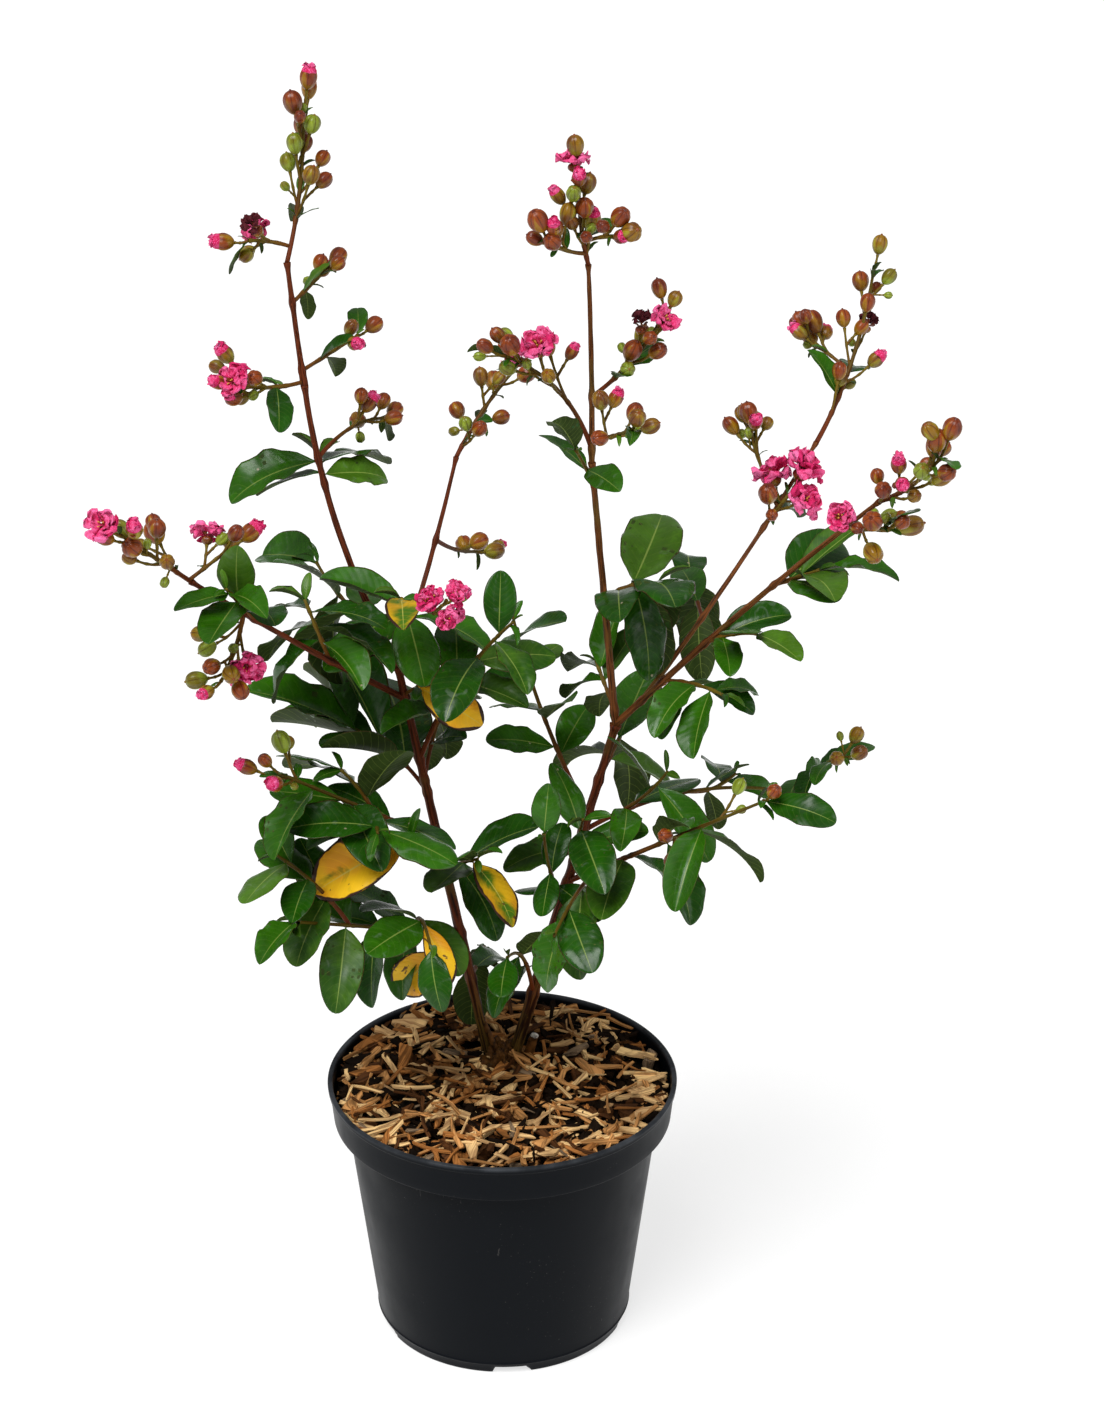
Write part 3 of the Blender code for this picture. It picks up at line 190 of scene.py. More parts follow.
SHOOTS = (
    Shoot("left_low_leaves", "left_stem", 0.33, -130, 25, 165,
          leaves=7, size=56, turn=45, step=0, spread=60, droop=15, seed=6),
    Shoot("left_low_twig", "left_low_leaves", 0.68, -170, 50, 70, 0.05,
          leaves=6, size=48, turn=15, step=0, droop=20, seed=630),
    Shoot("left_low_under", "left_low_leaves", 0.29, -80, 20, 80, 0.15,
          leaves=5, size=50, turn=30, step=0, spread=45, droop=20, seed=55),
    Shoot("left_low_yellow_leaf", "left_low_leaves", 0.13, -90, 15, 50,
          leaves=1, size=50, droop=15, seed=1),
    Shoot("left_middle_leaves", "left_stem", 0.57, -140, 35, 145,
          leaves=6, size=54, turn=75, spread=45, twigs=4, reach=22, low=0.9, lean=40, seed=44),
    Shoot("left_mid_twig", "left_middle_leaves", 0.42, -85, 15, 60,
          leaves=4, size=50, turn=0, step=0, spread=70, seed=69),
    Shoot("left_middle_yellow_leaf", "left_middle_leaves", 0.1, -95, 25, 65, -0.1,
          leaves=1, size=70, droop=25, seed=4195),
    Shoot("left_mid_upper", "left_middle_leaves", 0.42, 175, 55, 35, 0.05,
          leaves=5, size=58, turn=120, step=0, spread=60, droop=5, seed=103),
    Shoot("left_inner_leaves", "left_stem", 0.69, 165, 35, 70, 0.1,
          leaves=6, size=74, turn=0, spread=40, droop=-5, seed=7541),
    Shoot("stem_yellow_leaf", "left_stem", 0.93, -60, 35, 22, leaves=1, size=48, droop=20, seed=139),
    Shoot("left_bough_leaves", "left_bough", 0.36, 150, 65, 40,
          leaves=6, size=56, turn=90, step=0, spread=65, droop=25, seed=728),
    Shoot("left_bough_outer_leaves", "left_bough", 0.71, -115, 45, 45,
          leaves=6, size=50, turn=0, spread=45, droop=5, seed=5492),
    Shoot("left_truss", "left_bough", 1.0, -125, 40, 75,
          turn=45, twigs=9, reach=20, low=0.2, lean=30, blooms=(8,), seed=184),
    Shoot("left_lower_truss", "left_bough", 0.76, -110, -40, 45, -0.1,
          turn=15, twigs=7, reach=20, low=0.1, lean=40, blooms=(1, 2), seed=2407),
    Shoot("left_leader_leaves", "left_leader", 0.15, 135, 25, 60, -0.1,
          leaves=5, size=60, turn=15, spread=65, droop=25, seed=92),
    Shoot("left_leader_upper_leaves", "left_leader", 0.66, 105, 40, 20, 0.05,
          leaves=4, size=56, turn=0, step=0, spread=70, droop=20, seed=7359),
    Shoot("left_inner_truss", "left_leader", 0.75, 55, 5, 65, 0.1,
          leaves=1, size=26, turn=75, droop=5, twigs=5, reach=16, low=0.5, lean=40, seed=8499),
    Shoot("left_side_truss", "left_spire", 0.03, -140, 10, 45, -0.05,
          leaves=2, size=40, turn=0, spread=50, twigs=6, reach=22, low=0.4, lean=30, blooms=(0, 4),
          seed=118),
    Shoot("left_flower_twig", "left_spire", 0.12, 50, 10, 50,
          leaves=3, size=30, turn=45, step=0, spread=40, droop=-5, twigs=2, reach=10, low=0.6,
          lean=70, seed=4548),
    Shoot("left_spire_twig", "left_spire", 0.67, 55, 20, 35,
          leaves=3, size=24, turn=90, step=0, droop=15, twigs=4, reach=12, low=0.5, lean=30,
          seed=7745),
    Shoot("left_top_truss", "left_spire", 1.0, 75, 65, 90, -0.1,
          leaves=3, size=24, turn=45, step=0, spread=60, droop=15, twigs=9, reach=22, low=0.3,
          lean=30, seed=2134),
    Shoot("left_high_truss", "left_top_truss", 0.11, -175, 10, 25, 0.05,
          leaves=1, size=26, turn=0, droop=20, twigs=4, reach=14, low=0.3, lean=60, blooms=(0,),
          faded=(1,), seed=183),
    Shoot("inner_leader_leaves", "inner_leader", 0.2, -95, 40, 55,
          leaves=5, size=60, turn=150, spread=50, droop=25, seed=61),
    Shoot("low_truss", "inner_leader", 0.29, -80, 20, 80,
          turn=30, twigs=4, reach=30, low=0.6, lean=30, blooms=(0, 1, 3), seed=83),
    Shoot("inner_lower_truss", "inner_leader", 0.61, 65, -25, 80, -0.05,
          leaves=1, size=24, turn=45, droop=5, twigs=4, reach=12, low=0.4, lean=30, seed=5736),
    Shoot("inner_truss", "inner_leader", 1.0, 45, 40, 75, 0.05,
          leaves=2, size=20, turn=30, spread=60, twigs=8, reach=16, low=0.1, lean=60, seed=7622),
    Shoot("inner_right_leaves", "left_stem", 0.77, -45, 55, 145, 0.05,
          leaves=8, size=48, turn=0, spread=60, droop=5, seed=124),
    Shoot("inner_small_leaves", "left_stem", 0.72, 75, 25, 70, 0.15,
          leaves=5, size=40, turn=75, step=0, spread=70, seed=3585),
    Shoot("centre_twig_leaves", "right_stem", 0.74, 135, 60, 135, -0.05,
          leaves=8, size=44, turn=0, spread=60, seed=72),
    Shoot("centre_leader_leaves", "centre_leader", 0.06, 115, 40, 35,
          leaves=6, size=44, turn=75, step=0, spread=45, seed=174),
    Shoot("centre_middle_leaves", "centre_leader", 0.49, -5, 20, 35, 0.1,
          leaves=6, size=66, turn=45, spread=70, droop=5, seed=9541),
    Shoot("centre_upper_leaves", "centre_leader", 0.93, -110, 45, 45,
          leaves=3, size=38, turn=45, step=0, spread=60, droop=-5, seed=88),
    Shoot("centre_left_truss", "centre_spire", 0.06, -150, 50, 90, 0.1,
          leaves=1, size=26, turn=60, droop=20, twigs=8, reach=22, low=0.4, lean=30, blooms=(2, 3),
          seed=21),
    Shoot("centre_right_truss", "centre_spire", 0.32, -5, 50, 60, -0.05,
          leaves=2, size=32, turn=15, droop=-5, twigs=7, reach=18, low=0.3, lean=30, blooms=(5,),
          faded=(3,), seed=189),
    Shoot("centre_mid_truss", "centre_spire", 0.1, -70, 25, 70,
          leaves=1, size=26, turn=60, droop=-5, twigs=5, reach=16, low=0.4, seed=165),
    Shoot("centre_top_truss", "centre_spire", 1.0, -125, 80, 60, -0.05,
          leaves=3, size=26, turn=135, spread=70, droop=20, twigs=8, reach=14, low=0.1, lean=30,
          blooms=(6,), seed=520),
    Shoot("centre_high_left", "centre_top_truss", 0.13, -130, 25, 35, -0.05,
          turn=75, twigs=5, reach=14, low=0.5, lean=30, seed=128),
    Shoot("centre_high_right", "centre_top_truss", 0.25, -40, 20, 25, 0.05,
          turn=45, twigs=4, reach=12, low=0.6, lean=30, seed=136),
    Shoot("right_bough_leaves", "right_bough", 0.2, -50, 10, 55, 0.05,
          leaves=6, size=44, turn=0, step=0, spread=70, seed=182),
    Shoot("right_bough_middle_leaves", "right_bough", 0.37, -45, 25, 45, 0.05,
          leaves=5, size=46, turn=165, step=0, spread=45, droop=-5, seed=40),
    Shoot("right_bough_outer_leaves", "right_bough", 0.63, -15, 25, 30,
          leaves=5, size=58, turn=165, step=0, droop=-5, seed=21),
    Shoot("right_truss", "right_bough", 1.0, -55, 40, 65, -0.05,
          leaves=1, size=24, turn=15, droop=20, twigs=10, reach=22, low=0.0, lean=30, seed=7336),
    Shoot("right_lower_truss", "right_bough", 0.89, -45, 15, 30, -0.05,
          leaves=1, size=30, turn=30, droop=0, twigs=7, reach=18, low=0.1, lean=60, blooms=(0,),
          seed=340),
    Shoot("back_bough_leaves", "back_bough", 0.33, 95, 0, 70,
          leaves=6, size=52, turn=120, step=0, spread=40, droop=30, seed=7818),
    Shoot("back_middle_truss", "back_bough", 0.68, 20, 50, 25,
          leaves=2, size=38, turn=60, droop=-5, twigs=6, reach=16, low=0.3, lean=60,
          blooms=(1, 2, 3, 5), seed=155),
    Shoot("back_left_truss", "back_middle_truss", 0.6, 120, 50, 50, -0.05,
          leaves=1, size=30, turn=75, droop=-5, twigs=6, reach=16, low=0.7, lean=30, seed=362),
    Shoot("back_top_truss", "back_bough", 1.0, 60, 50, 115, -0.1,
          leaves=2, size=38, turn=90, spread=45, droop=0, twigs=9, reach=22, low=0.2, lean=40,
          faded=(4,), seed=7680),
    Shoot("back_top_left", "back_top_truss", 0.47, 135, 20, 35,
          turn=45, twigs=5, reach=18, low=0.5, lean=30, seed=1),
    Shoot("right_long_shoot", "right_stem", 0.69, 5, 10, 130, 0.1, seed=24),
    Shoot("right_long_leaves", "right_long_shoot", 0.12, -35, 45, 65, -0.05,
          leaves=4, size=52, turn=0, spread=60, seed=5308),
    Shoot("right_long_tip", "right_long_shoot", 1.0, -35, 40, 55, 0.05,
          leaves=6, size=34, turn=0, step=0, spread=70, droop=5, twigs=3, reach=12, low=0.9,
          seed=180),
    Shoot("right_long_middle", "right_long_shoot", 0.54, 40, 0, 40, -0.1,
          leaves=4, size=40, turn=75, spread=45, droop=15, seed=73),
    Shoot("right_low_leaves", "right_stem", 0.54, -45, 35, 200,
          leaves=7, size=56, turn=15, droop=30, twigs=3, reach=18, low=0.6, lean=70, seed=177),
    Shoot("right_low_under", "right_low_leaves", 0.17, -105, 5, 110, 0.05,
          leaves=4, size=54, turn=60, spread=45, droop=30, seed=37),
    Shoot("right_stem_shoot", "right_stem", 0.52, -100, 45, 110, -0.1,
          leaves=5, size=36, turn=15, spread=60, droop=-5, seed=156),
    Shoot("left_stem_leaves", "left_stem", 0.5, -70, 30, 75,
          leaves=6, size=50, turn=60, spread=50, droop=5, seed=99),
    Shoot("right_stem_leaves", "right_stem", 0.6, -85, 45, 85,
          leaves=4, size=54, turn=0, spread=50, seed=1),
    Shoot("front_low_leaves", "right_stem", 0.2, -100, 40, 115, 0.1,
          leaves=5, size=40, turn=135, step=0, spread=50, seed=50),
    Shoot("back_low_leaves", "left_stem", 0.21, 85, -15, 85,
          leaves=5, size=40, turn=45, step=0, spread=50, droop=30, seed=93),
    Shoot("back_high_leaves", "right_stem", 0.84, 75, 5, 90,
          leaves=5, size=58, turn=0, spread=45, seed=62),
    Shoot("left_upper_truss", "left_truss", 0.03, 35, 25, 32,
          turn=10, twigs=6, reach=16, low=0.2, lean=55, blooms=(1,), seed=51),
)

# Length, width and thickness in metres, greatest bend and greatest tilt in radians, and how far it lies
# above the heap, from and to. Then the share of all chips, and the weights of the tones from straw to grey
# The weights make the lowest chips mostly near-black bark and the highest mostly straw: partly the wood's own
# tones, partly painted shade low in the heap and painted light on top.
CHIP_KINDS = (
    ((0.0120, 0.0080, 0.0050, 0.2, 0.9, -0.0062, -0.0012), 0.27, (0.00, 0.01, 0.03, 0.16, 0.79, 0.01)),
    ((0.0160, 0.0056, 0.0019, 0.2, 0.6, -0.0046, 0.0000), 0.21, (0.12, 0.16, 0.17, 0.30, 0.23, 0.02)),
    ((0.0230, 0.0021, 0.0013, 0.5, 0.5, -0.0034, 0.0014), 0.22, (0.18, 0.22, 0.17, 0.24, 0.17, 0.02)),
    ((0.0290, 0.0026, 0.0006, 3.6, 0.9, -0.0020, 0.0020), 0.08, (0.24, 0.30, 0.18, 0.18, 0.07, 0.03)),
    ((0.0215, 0.0056, 0.0022, 0.15, 0.35, 0.0000, 0.0026), 0.10, (0.40, 0.28, 0.18, 0.09, 0.02, 0.03)),
    ((0.0280, 0.0023, 0.0016, 0.4, 0.35, 0.0008, 0.0036), 0.12, (0.44, 0.28, 0.16, 0.08, 0.02, 0.02)),
)

# A chip's outline across it, a bevelled oblong, and its sections along it
CHIP_ACROSS = np.array([1.0, 0.82, -0.82, -1.0, -1.0, -0.82, 0.82, 1.0])
CHIP_ABOVE = np.array([0.62, 1.0, 1.0, 0.62, -0.62, -1.0, -1.0, -0.62])
CHIP_ALONG = np.array([-0.5, -0.475, -0.16, 0.16, 0.475, 0.5])

# Foot, tip, radius at each and a seed: a stem cut off long ago, and a thin one that joins the left stem
CUT_STUB = ((0.0150, 0.0270, 0.168), (0.0205, 0.0255, 0.1885), 0.0036, 0.0028, 3)
SIDE_STEM = ((0.0005, 0.0200, 0.168), (-0.0130, 0.0245, 0.2020), 0.0021, 0.0016, 5)

# Seed of the buds' sizes, which the buds and the petals that burst from them share
BUD_SEED = 52

# The shoot whose flowers are fully open
FULL_BLOOM = "back_middle_truss"

# The shoot whose flower is a tuft of three small ones
TUFTED = "low_truss"
TUFT_TURNS = (20.0, 150.0, 265.0)

# The two rounds of petals of an open flower: how many, their least and greatest lean in degrees, their
# length and width as shares of the flower's radius, and a seed
PETAL_ROUNDS = ((6, (34, 74), 0.98, 1.58, 62), (3, (4, 30), 0.86, 1.25, 63))

# Leaves that have turned, by shoot and by their number on it
TINTS = ("gold", "rust", "half")
TURNING = {
    ("stem_yellow_leaf", 0): "rust",
    ("left_middle_yellow_leaf", 0): "gold",
    ("left_low_yellow_leaf", 0): "gold",
    ("left_low_under", 3): "gold",
    ("inner_leader_leaves", 4): "half",
    ("left_stem_leaves", 4): "half",
}

# How some of them lie: where they point, where they face, and how much longer and wider they are
POISED = {
    "left_middle_yellow_leaf": ((-0.86, -0.12, -0.42), (0.10, -0.66, 0.74), 1.06, 1.30),
    "left_low_yellow_leaf": ((-0.62, -0.20, -0.60), (0.15, -0.70, 0.70), 1.05, 1.25),
    "stem_yellow_leaf": ((0.78, -0.45, -0.28), (0.0, -0.70, 0.70), 1.0, 1.15),
}


def turns(shoot, number):
    """The tint of a leaf that has turned, or None."""
    return TURNING.get((shoot.name, number))


# The growth rule, as the solids have it


def unit(way):
    return way / math.sqrt(float(way @ way))


def aim(heading, rise):
    """The direction at a heading and a rise in degrees."""
    h, r = math.radians(heading), math.radians(rise)
    return np.array([math.cos(r) * math.cos(h), math.cos(r) * math.sin(h), math.sin(r)])


def axis_points(foot, row, count):
    """Evenly spaced points of a limb or shoot, on a curve that arches over the line from foot to tip."""
    ahead = aim(row.heading, row.rise)
    over = aim(row.heading, row.rise + 90.0)
    t = np.linspace(0.0, 1.0, count)[:, None]
    return foot + row.length * MM * (t * ahead + 4.0 * row.arch * t * (1.0 - t) * over)


def at_share(points, share):
    """(place, direction) at a share of the way along evenly spaced points."""
    x = min(max(share, 0.0), 1.0) * (len(points) - 1)
    i = min(int(x), len(points) - 2)
    step = points[i + 1] - points[i]
    return points[i] + step * (x - i), unit(step)


def around(ahead, turn):
    """The direction square to ahead at turn degrees about it, 0 being level and 90 upward."""
    up = np.array([0.0, 0.0, 1.0]) if abs(ahead[2]) < 0.97 else np.array([0.0, -1.0, 0.0])
    side = unit(np.cross(ahead, up))
    over = np.cross(side, ahead)
    a = math.radians(turn)
    return side * math.cos(a) + over * math.sin(a)


def lowered(ahead, droop):
    """ahead turned droop degrees downwards, and never steeper than 75 degrees."""
    flat = math.hypot(ahead[0], ahead[1])
    if flat < 1e-6:
        return ahead
    rise = max(math.atan2(ahead[2], flat) - math.radians(droop), math.radians(-75.0))
    return np.array([ahead[0] / flat * math.cos(rise), ahead[1] / flat * math.cos(rise), math.sin(rise)])


def turned(ahead, degrees):
    """ahead turned about the vertical."""
    a = math.radians(degrees)
    x, y, z = ahead
    return np.array([x * math.cos(a) - y * math.sin(a), x * math.sin(a) + y * math.cos(a), z])


def leaves_along(shoot, points):
    """Leaves in near-opposite pairs along a shoot, with one at its tip where their number is odd."""
    rng = np.random.default_rng(shoot.seed)
    pairs = (shoot.leaves + 1) // 2
    found = []
    for i in range(shoot.leaves):
        pair, side = divmod(i, 2)
        j = rng.uniform(-1.0, 1.0, 6)
        at_tip = i == shoot.leaves - 1 and side == 0
        share = shoot.first + (0.97 - shoot.first) * (pair + 0.22 * side) / max(pairs - 0.3, 1.0)
        share = 1.0 if at_tip else share
        place, ahead = at_share(points, share)
        if at_tip:
            way = unit(ahead + 0.25 * around(ahead, 180.0 * j[0]))
        else:
            outward = around(ahead, shoot.turn + 180.0 * side + shoot.step * pair + 22.0 * j[0])
            spread = math.radians(shoot.spread + 12.0 * j[1])
            way = ahead * math.cos(spread) + outward * math.sin(spread)
        way = lowered(way, shoot.droop * (1.0 + 0.6 * j[2]))
        face = around(way, 90.0 + 24.0 * j[3])
        largest = 0.82 + 0.18 * math.sin(math.pi * min(share, 1.0) ** 1.3)
        length = shoot.size * MM * largest * (1.0 + 0.16 * j[4])
        width = length * LEAF_WIDTH * (1.0 + 0.1 * j[5])
        bend = math.radians(24.0 + 14.0 * j[1])
        fold = math.radians(16.0 + 8.0 * j[2])
        found.append(Leaf(place, way, face, length, width, bend, fold))
    return found


def buds_along(shoot, points):
    """Twigs that turn round a shoot by the golden angle, each with a bud or a flower at its end."""
    rng = np.random.default_rng(shoot.seed + 1000)
    found = []
    for i in range(shoot.twigs):
        j = rng.uniform(-1.0, 1.0, 8)
        at_tip = i == shoot.twigs - 1
        share = 1.0 if at_tip else shoot.low + (0.97 - shoot.low) * i / max(shoot.twigs - 1, 1)
        place, ahead = at_share(points, share)
        if at_tip:
            way = unit(ahead + 0.2 * around(ahead, 180.0 * j[0]))
        else:
            lean = math.radians(shoot.lean + 12.0 * j[1])
            outward = around(ahead, shoot.turn + GOLDEN_TURN * i + 20.0 * j[0])
            way = ahead * math.cos(lean) + outward * math.sin(lean)
        shorter = 1.0 - 0.45 * (share - shoot.low) / (1.0 - shoot.low)
        length = shoot.reach * MM * shorter * (1.0 + 0.25 * j[2])
        t = np.linspace(0.0, 1.0, 4)[:, None]
        sag = 0.12 * t * t - 0.20 * t * (1.0 - t)
        twig = place + length * (t * way + sag * np.array([0.0, 0.0, 1.0]))
        kind = "open" if i in shoot.blooms else "faded" if i in shoot.faded else "bud"
        radius = {"open": OPEN_RADIUS, "faded": FADED_RADIUS, "bud": BUD_RADIUS}[kind]
        found.append(Bud(twig, at_share(twig, 1.0)[1], radius * (1.0 + 0.12 * j[3]), kind))
    return found


def outline_width(s):
    """A leaf's half-width at a share s of its length, as a share of the widest."""
    return np.sin(np.pi * np.clip(s, 0.0, 1.0) ** 1.16).clip(0.0, 1.0) ** 0.72


def on_leaf(leaf, s, c):
    """Places on a leaf at shares s of its length and c of its half-width.

    The midrib is an arc that bends down by leaf.bend over the length, and both halves fold up from it.
    """
    s, c = s[:, None], c[:, None]
    arc = leaf.bend * s
    midrib = leaf.ahead * np.sin(arc) / leaf.bend - leaf.face * (1.0 - np.cos(arc)) / leaf.bend
    up = leaf.ahead * np.sin(arc) + leaf.face * np.cos(arc)
    side = np.cross(leaf.ahead, leaf.face)
    out = 0.5 * leaf.width * outline_width(s) * c
    raised = np.abs(out) * math.sin(leaf.fold)
    return leaf.root + leaf.length * midrib + side * out * math.cos(leaf.fold) + up * raised


def leaf_spots(leaf):
    """Sample places over a leaf, less the quarter by its root."""
    return on_leaf(leaf, np.repeat(np.linspace(0.25, 1.0, 8), 5), np.tile(np.linspace(-0.85, 0.85, 5), 8))


def line_spots(points, start=0.0):
    """Sample places along a line, from a share of its length on."""
    x = np.linspace(start, 1.0, SPOTS) * (len(points) - 1)
    i = np.minimum(x.astype(int), len(points) - 2)
    return points[i] + (points[i + 1] - points[i]) * (x - i)[:, None]


class Room:
    """The space taken so far: sample places, a radius and the mass, for each piece."""

    def __init__(self):
        self.spots, self.middle, self.reach, self.radius, self.mass = [], [], [], [], []

    def add(self, spots, radius, mass):
        middle = spots.mean(0)
        self.spots.append(spots)
        self.middle.append(middle)
        self.reach.append(np.sqrt(((spots - middle) ** 2).sum(1)).max() + radius)
        self.radius.append(radius)
        self.mass.append(mass)

    def clear(self, spots, radius, mass, own=True):
        """True where a piece clears the other masses, and with own the pieces of its own mass as well."""
        if spots[:, 2].min() < LOWEST_LEAF:
            return False
        middle = spots.mean(0)
        reach = np.sqrt(((spots - middle) ** 2).sum(1)).max() + radius
        apart = np.sqrt(((np.array(self.middle) - middle) ** 2).sum(1))
        for i in np.nonzero(apart < np.array(self.reach) + reach)[0]:
            same = self.mass[i] == mass
            if same and not own:
                continue
            need = (self.radius[i] + radius) * (0.6 if same else 1.0)
            if ((self.spots[i][:, None] - spots[None]) ** 2).sum(2).min() < need * need:
                return False
        return True


def placed_leaf(leaf, room, mass):
    """The leaf, swung, drooped or made smaller until it clears the rest, or None."""
    moves = ((0, 0), (0, 14), (0, -14), (22, 0), (-22, 0), (22, 14), (-22, 14), (40, -8), (-40, -8))
    for scale in (1.0, 0.82):
        length, width = leaf.length * scale, leaf.width * scale
        for swing, droop in moves:
            ahead = turned(lowered(leaf.ahead, droop), swing)
            face = unit(leaf.face - ahead * float(leaf.face @ ahead))
            moved = leaf._replace(ahead=ahead, face=face, length=length, width=width)
            spots = leaf_spots(moved)
            if room.clear(spots, LEAF_ROOM, mass):
                room.add(spots, LEAF_ROOM, mass)
                return moved
    return None


def placed_bud(bud, room, mass):
    """The bud with its twig, or None where it would touch another mass."""
    middle = np.repeat((bud.twig[-1] + bud.ahead * bud.radius)[None], SPOTS, 0)
    twig = line_spots(bud.twig, 0.35)
    if not room.clear(middle, 0.95 * bud.radius, mass, own=False):
        return None
    if not room.clear(twig, 0.0012, mass, own=False):
        return None
    room.add(middle, 0.95 * bud.radius, mass)
    room.add(twig, 0.0012, mass)
    return bud


@cache
def grow():
    """(axis points by name, {shoot's name: (its mass, leaves, buds)})."""
    axes, mass_of = {}, {}
    room = Room()
    for limb in LIMBS:
        if limb.on:
            foot = at_share(axes[limb.on], limb.share)[0]
        else:
            foot = np.array([*STEM_FEET[limb.name], GROUND])
        axes[limb.name] = axis_points(foot, limb, 101)
        room.add(line_spots(axes[limb.name]), 0.5 * (limb.foot + limb.tip) * MM + 0.0004, "wood")
    for shoot in SHOOTS:
        axes[shoot.name] = axis_points(at_share(axes[shoot.on], shoot.share)[0], shoot, 101)
        mass_of[shoot.name] = mass_of.get(shoot.on, shoot.name)
        begins = mass_of[shoot.name] == shoot.name
        room.add(line_spots(axes[shoot.name], 0.12 if begins else 0.0), 0.0016, mass_of[shoot.name])
    grown = {}
    for shoot in SHOOTS:
        mass = mass_of[shoot.name]
        buds = [placed_bud(bud, room, mass) for bud in buds_along(shoot, axes[shoot.name])]
        leaves = [placed_leaf(leaf, room, mass) for leaf in leaves_along(shoot, axes[shoot.name])]
        grown[shoot.name] = (mass, [v for v in leaves if v], [v for v in buds if v])
    return axes, grown


def finer_twigs(shoot, buds):
    """Forks of a shoot's bud twigs: every third one bears a second bud, and the next a small green one."""
    rng = np.random.default_rng(shoot.seed + 2000)
    found = []
    for i, bud in enumerate(buds):
        j = rng.uniform(-1.0, 1.0, 6)
        length = math.dist(bud.twig[0], bud.twig[-1])
        if length < 0.012:
            continue
        for share, reach, size in ((0.62, 0.010, 0.85), (0.34, 0.007, 0.55)):
            turn = 180.0 * j[0] + 140.0 * (share < 0.5)
            if i % 3 == (0 if size > 0.8 else 1):
                fork, way = at_share(bud.twig, share)
                off = unit(0.75 * way + 0.85 * around(way, turn))
                twig = fork + np.linspace(0.0, 1.0, 4)[:, None] * off * reach * (1.0 + 0.25 * j[1])
                kind = "bud" if size > 0.8 else "green"
                found.append(Bud(twig, off, size * BUD_RADIUS * (1.0 + 0.12 * j[2]), kind))
    return found


def finer_leaves(shoot, points, leaves, buds):
    """Young leaves: a pair at the tip of a leafy shoot, and a scale at the root of every other bud twig."""
    rng = np.random.default_rng(shoot.seed + 3000)
    found = []
    if leaves:
        place, ahead = at_share(points, 0.97)
        turn = 180.0 * rng.random()
        for side in range(2):
            j = rng.uniform(-1.0, 1.0, 4)
            way = unit(ahead + (0.75 + 0.3 * j[0]) * around(ahead, turn + 180.0 * side + 20.0 * j[1]))
            length = (0.014 + 0.005 * j[2]) * shoot.size / 45.0
            found.append(Leaf(place, way, around(way, 90.0 + 30.0 * j[3]), length, 0.45 * length, 0.5, 0.5))
    for bud in buds[::2]:
        j = rng.uniform(-1.0, 1.0, 4)
        place, ahead = at_share(bud.twig, 0.03)
        way = unit(ahead + 0.9 * around(ahead, 180.0 * j[0]))
        length = 0.0100 * (1.0 + 0.35 * j[1])
        found.append(Leaf(place, way, around(way, 90.0), length, 0.46 * length, 0.6, 0.5))
    return found


# Surfaces


